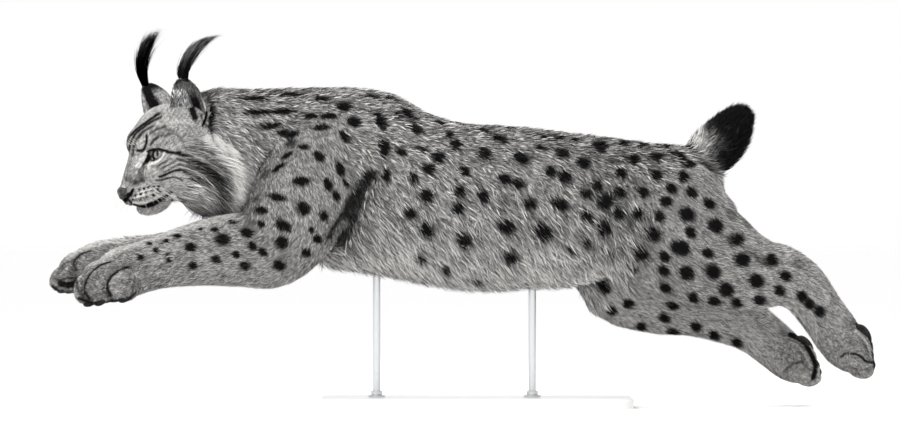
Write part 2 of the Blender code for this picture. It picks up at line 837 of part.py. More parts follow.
def build_eye(head, frame, name, side):
    """An eyeball in a socket cut for it, seen through the opening between its lids."""
    middle = Vector((EYE_MIDDLE[0], EYE_MIDDLE[1] * side, EYE_MIDDLE[2]))
    reach = EYE_RADIUS + LID_GAP
    for tool in (lid_window(frame, side), lump("socket", Lump(*middle, reach, reach, reach, 0), frame)):
        boolean(head, tool, "DIFFERENCE", "MANIFOLD")
        remove([tool])
    return lump(name, Lump(*middle, EYE_RADIUS, EYE_RADIUS, EYE_RADIUS, 0), frame)


def mouth_groove(tree, frame, side):
    """A thin round cutter along the line of the mouth, on the head's surface."""
    rings = []
    for spot in MOUTH:
        near = tree.find_nearest(frame @ (Vector((spot[0], spot[1] * side, spot[2])) * MM))[0]
        rings.append(Ring(*(near / MM), 1.9, 1.9))
    return limb("groove", rings, 6, 1)


def lumps_in(frame, singles, pairs):
    """Ellipsoids in a frame: those on the middle plane, and those that stand on both sides."""
    made = [lump(f"single_{i}", row, frame) for i, row in enumerate(singles)]
    for i, row in enumerate(pairs):
        made.append(lump(f"pair_{i}_left", row, frame))
        made.append(lump(f"pair_{i}_right", row._replace(y=-row.y), frame))
    return made


def build_head():
    """Skull, muzzle, cheeks, chin and brows in one skin, with the mouth, nostrils and eyes."""
    frame = head_frame()
    skull = fused("skull", lumps_in(frame, SKULL_LUMPS, SKULL_PAIRS), SKULL_SKIN)
    bridge = limb("bridge", BRIDGE, 16)
    bridge.data.transform(frame)
    head = fused("head", [skull, bridge] + lumps_in(frame, FACE_LUMPS, FACE_PAIRS), HEAD_SKIN)
    tree = tree_of(head)
    for side in (1, -1):
        groove = mouth_groove(tree, frame, side)
        nostril = limb("nostril", [row._replace(y=row.y * side) for row in NOSTRIL], 8, 2)
        nostril.data.transform(frame)
        for tool in (groove, nostril):
            boolean(head, tool, "DIFFERENCE", "MANIFOLD")
            remove([tool])
    eyes = [build_eye(head, frame, "eye_left", 1), build_eye(head, frame, "eye_right", -1)]
    return largest_only(head), tree, eyes


# Where the one skin is parted into legs, in the side view
FORE_UPPER = [(-392, 380), (-345, 462), (-270, 540), (-168, 540), (-146, 440), (-236, 226), (-262, 190)]
FORE_LOWER = [(-392, 380), (-262, 190), (-262, 120), (-820, 120), (-820, 345), (-480, 337), (-414, 364)]
HIND_UPPER = [
    (196, 296),
    (240, 420),
    (330, 456),
    (432, 428),
    (490, 396),
    (490, 372),
    (400, 306),
    (330, 268),
    (226, 232),
]
HIND_LOWER = [(150, 207), (226, 231), (330, 267), (400, 305), (490, 371), (840, 420), (840, 0), (150, 0)]


def part_body(body):
    """Divides the one skin into named nodes."""
    nodes = [body]
    for side, word in ((-1, "left"), (1, "right")):
        cuts = [
            (f"foreleg_{word}_upper", FORE_UPPER, 74),
            (f"foreleg_{word}_lower", FORE_LOWER, 43),
            (f"hindleg_{word}_thigh", HIND_UPPER, 60),
            (f"hindleg_{word}_shank", HIND_LOWER, 10),
        ]
        for name, outline, inner in cuts:
            low, high = sorted((side * inner, side * 300))
            nodes.append(carve_off(body, name, outline, low, high))
    for paw in PAWS:
        keep_side(bpy.data.objects[paw.source], paw.cut, -Vector(paw.facing), GAP / 2)
        largest_only(bpy.data.objects[paw.source])
    nodes.append(split(body, "tail", (432, 0, 449), (0.76, 0, 0.65)))
    nodes.append(split(body, "torso_loin", (-55, 0, 0), (1, 0, 0)))
    nodes.append(split(nodes[-1], "torso_hips", (205, 0, 0), (1, 0, 0)))
    nodes.append(split(body, "neck", (-335, 0, 450), (-1, 0, 0.1)))
    return nodes


def ruff_locks(head_tree, neck_tree, rng):
    """Tiers of locks round the back of each cheek and under the jaw, lying back and down."""
    frame = head_frame()
    made = []
    for side in (1, -1):
        for tier in RUFF_TIERS:
            for k in range(tier.count):
                turn = math.radians(tier.first + (tier.last - tier.first) * k / (tier.count - 1))
                way = Vector((0, math.sin(turn) * side, math.cos(turn)))
                axis = Vector((tier.ahead, 0, -18))
                start = frame @ ((axis + way * 200) * MM)
                hit = head_tree.ray_cast(start, frame.to_3x3() @ -way)
                root = hit[0]
                near, out, _, _ = neck_tree.find_nearest(root)
                if (root - near).dot(out) < 7 * MM:
                    root = root + frame.to_3x3() @ Vector((1, 0, 0)) * 14 * MM
                lie = frame.to_3x3() @ Vector((-0.85, 0.22 * side, -0.50))
                long = tier.length * rng.uniform(0.85, 1.12)
                wide = tier.width * rng.uniform(0.9, 1.15)
                made.append(lay_lock([head_tree, neck_tree], root, lie, long, wide, tier.lift, 0.35, rng))
    return made


def belly_locks(tree, low, high, rng):
    """Rows of locks under the trunk between two distances along X, lying back and down."""
    made = []
    for row, y in enumerate(BELLY_ROWS):
        x = low + 12 + (row % 2) * BELLY_SPACING / 2
        while x < high - 16:
            hit = tree.ray_cast(Vector((x, y, 100)) * MM, Vector((0, 0, 1)))
            clear = all(abs(x + 24 - place / MM) > 44 or abs(y) > 34 for place in ROD_PLACES.values())
            clear = clear and (x > -235 or abs(y) < 30)
            if hit[0] is not None and clear:
                long = min(BELLY_LENGTH * rng.uniform(0.85, 1.15), high - 1 - x)
                wide = BELLY_WIDTH * rng.uniform(0.9, 1.1)
                lie = Vector((0.86, 0.12 * np.sign(y), -0.5))
                made.append(lay_lock([tree], hit[0], lie, long, wide, 12, 0.15, rng))
            x += BELLY_SPACING * rng.uniform(0.92, 1.08)
    return made


def build_stand(torso_nodes):
    """A flat base and two rods let into the underside of the trunk."""
    shape = bmesh.new()
    bmesh.ops.create_cube(shape, size=1.0)
    size = Matrix.Diagonal((BASE_LENGTH, BASE_WIDTH, BASE_HEIGHT, 1))
    place = Matrix.Translation((BASE_MIDDLE_X, 0, BASE_HEIGHT / 2))
    bmesh.ops.transform(shape, matrix=place @ size, verts=shape.verts)
    upright = [e for e in shape.edges if abs(e.verts[0].co.z - e.verts[1].co.z) > BASE_HEIGHT / 2]
    bmesh.ops.bevel(shape, geom=upright, offset=BASE_CORNER, segments=6, affect="EDGES", profile=0.5)
    top = [e for e in shape.edges if all(v.co.z > BASE_HEIGHT * 0.99 for v in e.verts)]
    bmesh.ops.bevel(shape, geom=top, offset=BASE_EDGE, segments=2, affect="EDGES", profile=0.5)
    made = [from_bmesh("stand_base", shape)]
    for name, x in ROD_PLACES.items():
        made.append(cylinder(name, ROD_RADIUS, x, BASE_HEIGHT + GAP, ROD_TOP))
        hole = cylinder("hole", ROD_RADIUS + GAP, x, BASE_HEIGHT, ROD_TOP + GAP)
        for node in torso_nodes:
            boolean(node, hole, "DIFFERENCE")
        remove([hole])
    return made


def cylinder(name, radius, x, low, high, sides=32):
    """An upright closed cylinder on the middle plane."""
    shape = bmesh.new()
    size = {"radius1": radius, "radius2": radius, "depth": high - low}
    bmesh.ops.create_cone(shape, cap_ends=True, segments=sides, **size)
    bmesh.ops.translate(shape, verts=shape.verts, vec=(x, 0, (low + high) / 2))
    return from_bmesh(name, shape)


def dress(obj, colour):
    """Gives a node its material and smooth shading."""
    obj.data.materials.clear()
    obj.data.materials.append(material(colour))
    obj.data.shade_smooth()
    obj.data.set_sharp_from_angle(angle=math.radians(50))


def main():
    """Builds every node."""
    for old in list(bpy.data.objects):
        bpy.data.objects.remove(old)
    rng = np.random.default_rng(17)
    body = build_body()
    body_tree = tree_of(body)
    nodes = part_body(body)
    neck = bpy.data.objects["neck"]
    nodes += [build_paw(paw) for paw in PAWS]
    head, head_tree, eyes = build_head()
    cut_clear(neck, head)
    ears = []
    for ear in EARS:
        shell = ear_shell(ear)
        for other in (head, neck):
            cut_clear(shell, other)
        join_pieces(shell, tuft_locks(ear, rng))
        ears.append(shell)
    blockers = grown_copies([node for node in nodes if node.name not in ("tail",)] + ears)
    join_pieces(head, trimmed(ruff_locks(head_tree, body_tree, rng), blockers))
    torso = [bpy.data.objects[name] for name in ("torso_chest", "torso_loin", "torso_hips")]
    for node, low, high in zip(torso, (-310, -55, 205), (-55, 205, 250)):
        others = [blocker for blocker in blockers if blocker.name != node.name + "_grown"]
        join_pieces(node, trimmed(belly_locks(body_tree, low, high, rng), others))
    remove(blockers)
    stand = build_stand(torso)
    for node in nodes + [head]:
        dress(node, "coat")
    for ear in ears:
        dress(ear, "black_coat")
    for eye in eyes:
        dress(eye, "eye")
    dress(stand[0], "base")
    for rod in stand[1:]:
        dress(rod, "rod")


main()
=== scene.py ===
"""Eurasian lynx in full leap: skin, coat, eyes, nose, whiskers, pads, claws, stand and studio.

Metres, +Z up, the nose points to -X and the left side faces -Y. Sizes are given in millimetres.
"""

import logging
import math
from dataclasses import dataclass, field
from enum import IntEnum

import bmesh
import bpy
import numpy as np
from mathutils import Matrix, Vector
from mathutils.bvhtree import BVHTree


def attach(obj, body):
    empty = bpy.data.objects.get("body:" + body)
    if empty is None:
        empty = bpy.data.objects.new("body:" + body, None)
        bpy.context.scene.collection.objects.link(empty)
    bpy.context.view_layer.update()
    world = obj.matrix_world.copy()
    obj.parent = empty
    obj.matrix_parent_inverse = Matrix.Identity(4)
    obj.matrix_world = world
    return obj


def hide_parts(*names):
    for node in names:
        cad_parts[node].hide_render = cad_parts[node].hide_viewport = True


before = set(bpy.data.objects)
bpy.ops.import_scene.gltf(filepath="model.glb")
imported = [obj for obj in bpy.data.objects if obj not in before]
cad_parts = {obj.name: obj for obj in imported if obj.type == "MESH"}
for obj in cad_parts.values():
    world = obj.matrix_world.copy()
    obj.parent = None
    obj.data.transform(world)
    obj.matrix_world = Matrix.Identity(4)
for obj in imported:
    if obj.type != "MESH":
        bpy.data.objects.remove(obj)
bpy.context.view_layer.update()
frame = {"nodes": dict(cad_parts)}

MM = 0.001
BAKE_MAP = "OFBake"
COLOUR = "coat_colour"
PIECE_TRIANGLES = 190000
TUFT_PATCH = 0.0028

log = logging.getLogger("lynx")
Array = np.ndarray


class Part(IntEnum):
    """The parts of the animal that the coat is laid on."""

    TORSO = 0
    NECK = 1
    HEAD = 2
    FORELEG_LEFT = 3
    FORELEG_RIGHT = 4
    HINDLEG_LEFT = 5
    HINDLEG_RIGHT = 6
    TAIL = 7
    EAR_LEFT = 8
    EAR_RIGHT = 9


@dataclass(frozen=True)
class Slice:
    """An upright section of the trunk, in millimetres."""

    x: float
    top: float
    bottom: float
    half: float
    shift: float


@dataclass(frozen=True)
class Ring:
    """A section of a limb: its middle and its half sizes in the side view and across."""

    x: float
    y: float
    z: float
    tall: float
    wide: float


@dataclass(frozen=True)
class Lump:
    """An ellipsoid: its middle, half sizes and pitch in degrees."""

    x: float
    y: float
    z: float
    rx: float
    ry: float
    rz: float
    pitch: float = 0.0


@dataclass(frozen=True)
class Paw:
    """A paw: where it is, how its toes and its back point, and its size."""

    name: str
    limb: tuple[Ring, ...]
    place: tuple[float, float, float]
    toes: tuple[float, float, float]
    back: tuple[float, float, float]
    scale: float
    digits: tuple[tuple[float, ...], ...]


@dataclass(frozen=True)
class Ear:
    """An ear: its root, the way it stands, the way its cup opens and the line of its tuft."""

    name: str
    part: Part
    base: tuple[float, float, float]
    up: tuple[float, float, float]
    open: tuple[float, float, float]
    tuft: tuple[tuple[float, float, float], ...]

    def ways(self) -> tuple[Array, Array, Array]:
        """Its directions: up, out of the cup, and across."""
        up, opening = unit(np.array(self.up)), unit(np.array(self.open))
        return up, opening, np.cross(up, opening)


def records(kind: type, *values: tuple) -> tuple:
    """One record of a kind from each row of values.

    Args:
        kind: The record's class.
        *values: The rows.

    Returns:
        The records.
    """
    return tuple(kind(*value) for value in values)


TRUNK = records(
    Slice,
    (-345, 568, 320, 70, 0), (-290, 571, 290, 88, 0), (-240, 571, 262, 97, 0), (-180, 570, 250, 103, 0),
    (-120, 558, 240, 107, 0), (-60, 526, 228, 110, 0), (0, 508, 219, 110, 0), (60, 503, 217, 108, 0),
    (120, 499, 221, 103, 0), (180, 492, 223, 98, 0), (240, 485, 236, 95, 0), (300, 477, 256, 94, 0),
    (350, 471, 280, 92, 0), (400, 464, 310, 82, 0), (431, 438, 344, 60, 0),
)
NECK = records(
    Slice,
    (-290, 571, 300, 86, 0), (-345, 569, 322, 82, 0), (-400, 569, 345, 76, -4), (-440, 569, 360, 70, -9),
    (-480, 558, 378, 46, -12),
)
FORELEG_LEFT = records(
    Ring,
    (-212, -62, 508, 50, 24), (-238, -74, 455, 78, 34), (-270, -82, 398, 93, 38), (-302, -86, 335, 88, 39),
    (-336, -86, 290, 74, 39), (-388, -85, 284, 66, 39), (-440, -84, 280, 60, 37), (-500, -83, 270, 51, 33),
    (-555, -82, 256, 44, 31), (-600, -82, 243, 44, 35), (-626, -84, 232, 38, 38),
)
FORELEG_RIGHT = records(
    Ring,
    (-212, 62, 508, 50, 24), (-240, 74, 455, 76, 34), (-276, 82, 398, 88, 38), (-315, 86, 340, 80, 39),
    (-360, 86, 304, 68, 39), (-420, 84, 290, 60, 38), (-480, 82, 277, 52, 35), (-540, 80, 268, 43, 32),
    (-600, 79, 264, 42, 31), (-652, 78, 254, 42, 34), (-680, 78, 246, 37, 38),
)
HINDLEG_LEFT = records(
    Ring,
    (366, -50, 378, 92, 52), (415, -64, 293, 105, 50), (477, -70, 257, 87, 42), (532, -71, 241, 65, 35),
    (575, -71, 236, 54, 31), (611, -71, 216, 46, 29), (641, -71, 179, 41, 28), (671, -71, 136, 40, 31),
    (690, -72, 108, 38, 36),
)
HINDLEG_RIGHT = records(
    Ring,
    (340, 50, 345, 92, 52), (290, 62, 250, 92, 48), (360, 68, 207, 77, 42), (428, 69, 184, 58, 36),
    (488, 70, 162, 50, 32), (530, 70, 140, 44, 29), (566, 70, 112, 40, 28), (590, 70, 91, 38, 31),
    (603, 71, 80, 36, 35),
)
TAIL = records(
    Ring,
    (412, 0, 416, 40, 38), (446, 0, 453, 41, 37), (471, 0, 477, 40, 37), (489, 0, 500, 35, 33),
    (500, 0, 515, 27, 26),
)
LIMBS = {
    Part.FORELEG_LEFT: FORELEG_LEFT,
    Part.FORELEG_RIGHT: FORELEG_RIGHT,
    Part.HINDLEG_LEFT: HINDLEG_LEFT,
    Part.HINDLEG_RIGHT: HINDLEG_RIGHT,
    Part.TAIL: TAIL,
}
MUSCLES = records(
    Lump,
    (-275, -60, 420, 92, 46, 112, 18), (-275, 60, 420, 92, 46, 112, 18), (345, -54, 330, 122, 50, 118, 10),
    (335, 54, 310, 120, 50, 112, 10), (-380, 0, 388, 70, 50, 44, -20), (262, 62, 226, 70, 42, 38, 24),
    (412, 0, 450, 42, 30, 21, -34),
)
HEAD_PLACE = (-510.0, -26.0, 450.0)
HEAD_YAW = math.radians(20.0)
SKULL_LUMPS = records(
    Lump,
    (12, 0, 33, 64, 60, 60), (54, 0, 24, 37, 37, 34), (-36, 0, 30, 54, 66, 78), (-4, 0, -46, 46, 48, 31),
)
SKULL_PAIRS = records(
    Lump,
    (-12, 38, 18, 50, 36, 48), (4, 40, -29, 50, 38, 45), (-44, 46, -26, 48, 40, 62),
    (40, 30, -32, 30, 25, 27), (-24, 43, 42, 40, 26, 28),
)
FACE_LUMPS = records(
    Lump,
    (97, 0, -61, 11.5, 15, 11.5, 10), (85, 0, -74, 15, 15, 13), (42, 0, -84, 34, 23, 18.5, 20),
    (22, 0, -63, 32, 28, 13, -4),
)
FACE_PAIRS = records(
    Lump,
    (62, 14, 18, 23, 17, 14, 15), (46, 32, 19, 18, 15, 10, 12), (64, 20, -65, 34, 22, 21, 13),
    (18, 26, -61, 46, 24, 17, 8), (37.5, 31, 3.5, 16.8, 16.8, 16.8),
)
BRIDGE = records(
    Ring,
    (52, 0, 18, 32, 31), (65, 0, -11, 25, 25), (76, 0, -35, 22, 22), (87, 0, -54, 17, 18.5),
)
EYE_MIDDLE = (37.5, 31.0, 3.5)
EYE_LOOK = (0.80, 0.60, 0.04)
EYE_RADIUS = 14.4
LID_HALF_LENGTH = 14.0
LID_RISE = 9.0
LID_DROP = 8.8
LID_ROLL = math.radians(26.0)
MOUTH = (
    (101, 0, -74), (92, 0, -84), (85, 8, -88), (74, 18, -89), (58, 26, -86), (40, 30, -79), (25, 33, -71),
)
TOES = (
    (6, -35, -5, 29, 16.5, 22), (20, -12, -1, 29, 16.5, 22), (20, 12, -1, 29, 16.5, 22),
    (9, 33, -5, 29, 16.5, 22),
)
BENT_TOES = (
    (-12, -40, -15, 28, 20, 27), (19, -14, -3, 27, 17, 29), (22, 11, -2, 27, 16.5, 26),
    (10, 33, -5, 27, 16.5, 24),
)
PALM = (-6, 0, 1, 38, 46, 36)
PAWS = (
    Paw("front_left", FORELEG_LEFT, (-638, -86, 226), (-0.74, -0.58, -0.34), (-0.30, 0, 1), 1.06, BENT_TOES),
    Paw("front_right", FORELEG_RIGHT, (-692, 78, 239), (-0.94, -0.16, -0.28), (-0.28, 0.0, 1.0), 1.04, TOES),
    Paw("hind_left", HINDLEG_LEFT, (702, -72, 101), (0.46, -0.10, -0.88), (-0.88, 0.0, -0.46), 1.06, TOES),
    Paw("hind_right", HINDLEG_RIGHT, (611, 72, 78), (0.62, -0.06, -0.78), (-0.78, 0.0, -0.62), 1.03, TOES),
)
EAR_HEIGHT = 84.0
EAR_HALF_WIDTH = 38.0
EAR_WALL = 4.5
EARS = (
    Ear(
        "ear_left",
        Part.EAR_LEFT,
        (-483, -66, 508),
        (-0.19, -0.10, 0.98),
        (-0.36, -0.93, 0.05),
        (
            (-492, -62, 578), (-496, -76, 600), (-488, -81, 621),
            (-474, -86, 642), (-456, -89, 658), (-436, -91, 668),
        ),
    ),
    Ear(
        "ear_right",
        Part.EAR_RIGHT,
        (-528, 15, 508),
        (-0.46, 0.12, 0.88),
        (-0.62, 0.78, 0.05),
        ((-564, 22, 570), (-573, 26, 600), (-573, 30, 622), (-568, 33, 643), (-559, 36, 664), (-547, 38, 683)),
    ),
)


def unit(rows: Array) -> Array:
    """Scales each row to length one.

    Args:
        rows: Vectors, one a row.

    Returns:
        The same directions at unit length.
    """
    return rows / np.maximum(np.linalg.norm(rows, axis=-1, keepdims=True), 1e-12)


def smoothstep(low: float, high: float, value: Array) -> Array:
    """Rises smoothly from 0 at low to 1 at high, and falls if low is above high.

    Args:
        low: Where the step begins.
        high: Where it ends.
        value: Where it is read.

    Returns:
        Numbers from 0 to 1.
    """
    t = np.clip((value - low) / (high - low), 0.0, 1.0)
    return t * t * (3 - 2 * t)


def ripples(points: Array, wavelength: float, rng: np.random.Generator, waves: int = 7) -> Array:
    """Soft noise in space, about -1 to 1, made of crossed waves.

    Args:
        points: Places in metres.
        wavelength: Typical size of a swell in metres.
        rng: Seeded numbers.
        waves: How many waves are added.

    Returns:
        One number a point.
    """
    ways = unit(rng.normal(size=(waves, 3))) * (2 * math.pi / wavelength)
    ways *= rng.uniform(0.6, 1.5, (waves, 1))
    phases = rng.uniform(0, 2 * math.pi, waves)
    return np.sin(points @ ways.T + phases).sum(1) / math.sqrt(waves)


def smooth_rows(rows: Array, steps: int) -> Array:
    """Catmull-Rom points through rows of numbers.

    Args:
        rows: One row of numbers for each station.
        steps: How many points each stretch gets.

    Returns:
        The denser rows.
    """
    rows = np.array(rows, float)
    padded = np.vstack([2 * rows[0] - rows[1], rows, 2 * rows[-1] - rows[-2]])
    made = []
    for i in range(1, len(padded) - 2):
        a, b, c, d = padded[i - 1 : i + 3]
        for t in np.arange(steps) / steps:
            cubic = 3 * b - a - 3 * c + d
            made.append(0.5 * (2 * b + (c - a) * t + (2 * a - 5 * b + 4 * c - d) * t**2 + cubic * t**3))
    made.append(rows[-1])
    return np.array(made)


def line_gap(flat: Array, line: Array) -> Array:
    """How far places are from a line of straight stretches.

    Args:
        flat: Places in two dimensions.
        line: The line's corners.

    Returns:
        One distance for each place.
    """
    best = np.full(len(flat), 1e9)
    for a, b in zip(line[:-1], line[1:]):
        span = b - a
        t = np.clip(((flat - a) @ span) / (span @ span), 0, 1)
        best = np.minimum(best, np.linalg.norm(flat - a - t[:, None] * span, axis=1))
    return best


def gap_to(points: Array, place: tuple) -> Array:
    """How far points are from a place that is given in millimetres, in metres."""
    return np.linalg.norm(points - np.array(place) * MM, axis=1)


def in_frame(points: Array, place: Matrix) -> Array:
    """Points as a frame sees them, in metres."""
    matrix = np.array(place)
    return (points - matrix[:3, 3]) @ matrix[:3, :3]


def grid_faces(rows: int, sides: int, ring: bool = False) -> list:
    """Faces between rows of points that each close round.

    Args:
        rows: How many rows there are.
        sides: How many points a row has.
        ring: Whether the last row meets the first.

    Returns:
        Four corner numbers for each face.
    """
    made = []
    for r in range(rows if ring else rows - 1):
        step = (r + 1) % rows * sides - r * sides
        for s in range(sides):
            a, b = r * sides + s, r * sides + (s + 1) % sides
            made.append((a, b, b + step, a + step))
    return made


def dress_in(obj: bpy.types.Object, finish: bpy.types.Material) -> None:
    """Shades a piece smoothly and gives it its only material."""
    obj.data.shade_smooth()
    obj.data.materials.clear()
    obj.data.materials.append(finish)


def link(name: str, mesh: bpy.types.Mesh) -> bpy.types.Object:
    """An object for a mesh, in the scene.

    Args:
        name: The object's name.
        mesh: Its mesh.

    Returns:
        The new object.
    """
    made = bpy.data.objects.new(name, mesh)
    bpy.context.scene.collection.objects.link(made)
    return made


def from_faces(name: str, points: list, faces: list) -> bpy.types.Object:
    """A mesh object from points in metres, with its faces turned outwards.

    Args:
        name: The object's name.
        points: Corner points.
        faces: Corner numbers of each face.

    Returns:
        The new object.
    """
    mesh = bpy.data.meshes.new(name)
    mesh.from_pydata([tuple(p) for p in points], [], faces)
    shape = bmesh.new()
    shape.from_mesh(mesh)
    bmesh.ops.recalc_face_normals(shape, faces=shape.faces)
    shape.to_mesh(mesh)
    shape.free()
    return link(name, mesh)


def bake(obj: bpy.types.Object) -> bpy.types.Object:
    """Turns an object and its modifiers into a plain mesh.

    Args:
        obj: The object with modifiers.

    Returns:
        The same object without them.
    """
    graph = bpy.context.evaluated_depsgraph_get()
    mesh = bpy.data.meshes.new_from_object(obj.evaluated_get(graph))
    obj.modifiers.clear()
    obj.data = mesh
    return obj


def remove(objects: list) -> None:
    """Takes helper objects out of the scene."""
    for old in list(objects):
        bpy.data.objects.remove(old)


def boolean(target: bpy.types.Object, tool: bpy.types.Object, operation: str) -> None:
    """Applies one Boolean with another closed object, which is then removed.

    Args:
        target: The object that changes.
        tool: The object that it is cut with or joined to.
        operation: UNION or DIFFERENCE.
    """
    step = target.modifiers.new("Boolean", "BOOLEAN")
    step.operation = operation
    step.object = tool
    step.solver = "MANIFOLD"
    bake(target)
    remove([tool])


def tube(centres: Array, talls: Array, wides: Array, sizes: Array, sides: int = 24) -> bpy.types.Object:
    """A closed tube of rounded sections with domed ends.

    Args:
        centres: Middles of the sections in millimetres.
        talls: Directions of the first half size.
        wides: Directions of the second half size.
        sizes: Both half sizes of each section.
        sides: How many points a section has.

    Returns:
        The tube as an object.
    """
    turn = np.linspace(0, 2 * math.pi, sides, endpoint=False)
    power = 2 / 2.2
    high = np.sign(np.sin(turn)) * np.abs(np.sin(turn)) ** power
    broad = np.sign(np.cos(turn)) * np.abs(np.cos(turn)) ** power
    count = len(centres)
    body = [
        centres[i] + np.outer(high * sizes[i, 0], talls[i]) + np.outer(broad * sizes[i, 1], wides[i])
        for i in range(count)
    ]
    caps, poles = [], []
    for i, sign in ((0, -1), (count - 1, 1)):
        along = np.cross(talls[i], wides[i])
        inward = centres[min(i + 1, count - 1)] - centres[max(i - 1, 0)]
        along = along * np.sign(along @ inward) * sign
        reach = min(sizes[i]) * 0.85
        dome = [
            centres[i] + (body[i] - centres[i]) * math.cos(t) + along * reach * math.sin(t)
            for t in (0.5, 0.95, 1.3)
        ]
        caps.append(dome)
        poles.append(centres[i] + along * reach)
    rings = list(reversed(caps[0])) + body + caps[1]
    flat = [p * MM for ring in rings for p in ring] + [pole * MM for pole in poles]
    first, last = len(flat) - 2, len(flat) - 1
    faces = grid_faces(len(rings), sides)
    base = (len(rings) - 1) * sides
    for s in range(sides):
        faces.append((first, (s + 1) % sides, s))
        faces.append((last, base + s, base + (s + 1) % sides))
    return from_faces("tube", flat, faces)


def limb_frames(rings: tuple, steps: int) -> tuple[Array, Array, Array, Array, Array]:
    """Sections along a limb that stand square to its path.

    Args:
        rings: The limb's rings.
        steps: How many sections each stretch gets.

    Returns:
        Centres, path directions, tall directions, wide directions and both half sizes.
    """
    rows = smooth_rows([(r.x, r.y, r.z, r.tall, r.wide) for r in rings], steps)
    centres = rows[:, :3]
    along = unit(np.gradient(centres, axis=0))
    across = np.tile([0.0, 1.0, 0.0], (len(rows), 1))
    across = unit(across - along * (across * along).sum(1)[:, None])
    return centres, along, np.cross(along, across), across, rows[:, 3:]


def slice_frames(slices: tuple, steps: int) -> tuple[Array, Array, Array, Array, Array]:
    """Upright sections along the trunk or neck.

    Args:
        slices: The sections.
        steps: How many sections each stretch gets.

    Returns:
        Centres, path directions, tall directions, wide directions and both half sizes.
    """
    rows = smooth_rows([(s.x, s.top, s.bottom, s.half, s.shift) for s in slices], steps)
    centres = np.stack([rows[:, 0], rows[:, 4], (rows[:, 1] + rows[:, 2]) / 2], 1)
    count = len(rows)
    ways = [np.tile(way, (count, 1)) for way in ((1.0, 0.0, 0.0), (0.0, 0.0, 1.0), (0.0, 1.0, 0.0))]
    return centres, *ways, np.stack([(rows[:, 1] - rows[:, 2]) / 2, rows[:, 3]], 1)


def limb(rings: tuple, sides: int = 20) -> bpy.types.Object:
    """A tube along a limb."""
    centres, _, talls, wides, sizes = limb_frames(rings, 4)
    return tube(centres, talls, wides, sizes, sides)


def sliced(slices: tuple) -> bpy.types.Object:
    """A tube of upright sections."""
    centres, _, talls, wides, sizes = slice_frames(slices, 4)
    return tube(centres, talls, wides, sizes)


def lump(row: Lump, place: Matrix = Matrix.Identity(4), detail: int = 3) -> bpy.types.Object:
    """An ellipsoid in a frame of its own.

    Args:
        row: Its middle, half sizes and pitch.
        place: The frame it stands in.
        detail: Subdivisions of the ball.

    Returns:
        The ellipsoid as an object.
    """
    shape = bmesh.new()
    bmesh.ops.create_icosphere(shape, subdivisions=detail, radius=1.0)
    middle = Matrix.Translation(Vector((row.x, row.y, row.z)) * MM)
    turn = Matrix.Rotation(math.radians(row.pitch), 4, "Y")
    size = Matrix.Diagonal((row.rx * MM, row.ry * MM, row.rz * MM, 1))
    bmesh.ops.transform(shape, matrix=place @ middle @ turn @ size, verts=shape.verts)
    mesh = bpy.data.meshes.new("lump")
    shape.to_mesh(mesh)
    shape.free()
    return link("lump", mesh)


def frame_of(forward: Vector, across: Vector, up: Vector, place: tuple) -> Matrix:
    """A matrix whose columns are three directions and a place in millimetres."""
    rows = [[forward[i], across[i], up[i], place[i] * MM] for i in range(3)]
    return Matrix(rows + [[0, 0, 0, 1]])


def head_frame() -> Matrix:
    """The head's frame: X forward, Y to the animal's left, Z up."""
    forward = Vector((-math.cos(HEAD_YAW), -math.sin(HEAD_YAW), 0))
    left = Vector((math.sin(HEAD_YAW), -math.cos(HEAD_YAW), 0))
    return frame_of(forward, left, Vector((0, 0, 1)), HEAD_PLACE)


def paw_frame(paw: Paw) -> Matrix:
    """A paw's frame: X along the toes, Y across, Z out of the back of the paw."""
    toes = Vector(paw.toes).normalized()
    across = Vector(paw.back).cross(toes).normalized()
    return frame_of(toes, across, toes.cross(across), paw.place)


def joined(name: str, objects: list) -> bpy.types.Object:
    """One object that holds all the given meshes, which are removed.

    Args:
        name: The new object's name.
        objects: The objects to gather.

    Returns:
        The gathered object.
    """
    shape = bmesh.new()
    for obj in objects:
        shape.from_mesh(obj.data)
    remove(objects)
    mesh = bpy.data.meshes.new(name)
    shape.to_mesh(mesh)
    shape.free()
    return link(name, mesh)


def points_of(mesh: bpy.types.Mesh) -> Array:
    """A mesh's points as an array."""
    points = np.empty(len(mesh.vertices) * 3, np.float32)
    mesh.vertices.foreach_get("co", points)
    return points.reshape(-1, 3).astype(float)


def normals_of(mesh: bpy.types.Mesh) -> Array:
    """A mesh's point normals as an array."""
    normals = np.empty(len(mesh.vertices) * 3, np.float32)
    mesh.vertex_normals.foreach_get("vector", normals)
    return normals.reshape(-1, 3).astype(float)


def edges_of(mesh: bpy.types.Mesh) -> Array:
    """A mesh's edges as pairs of point numbers."""
    edges = np.empty(len(mesh.edges) * 2, np.int32)
    mesh.edges.foreach_get("vertices", edges)
    return edges.reshape(-1, 2)


def triangles_of(mesh: bpy.types.Mesh) -> Array:
    """A mesh's triangles as rows of point numbers."""
    mesh.calc_loop_triangles()
    found = np.empty(len(mesh.loop_triangles) * 3, np.int32)
    mesh.loop_triangles.foreach_get("vertices", found)
    return found.reshape(-1, 3)


def set_points(mesh: bpy.types.Mesh, points: Array) -> None:
    """Moves a mesh's points."""
    mesh.vertices.foreach_set("co", points.astype(np.float32).ravel())
    mesh.update()


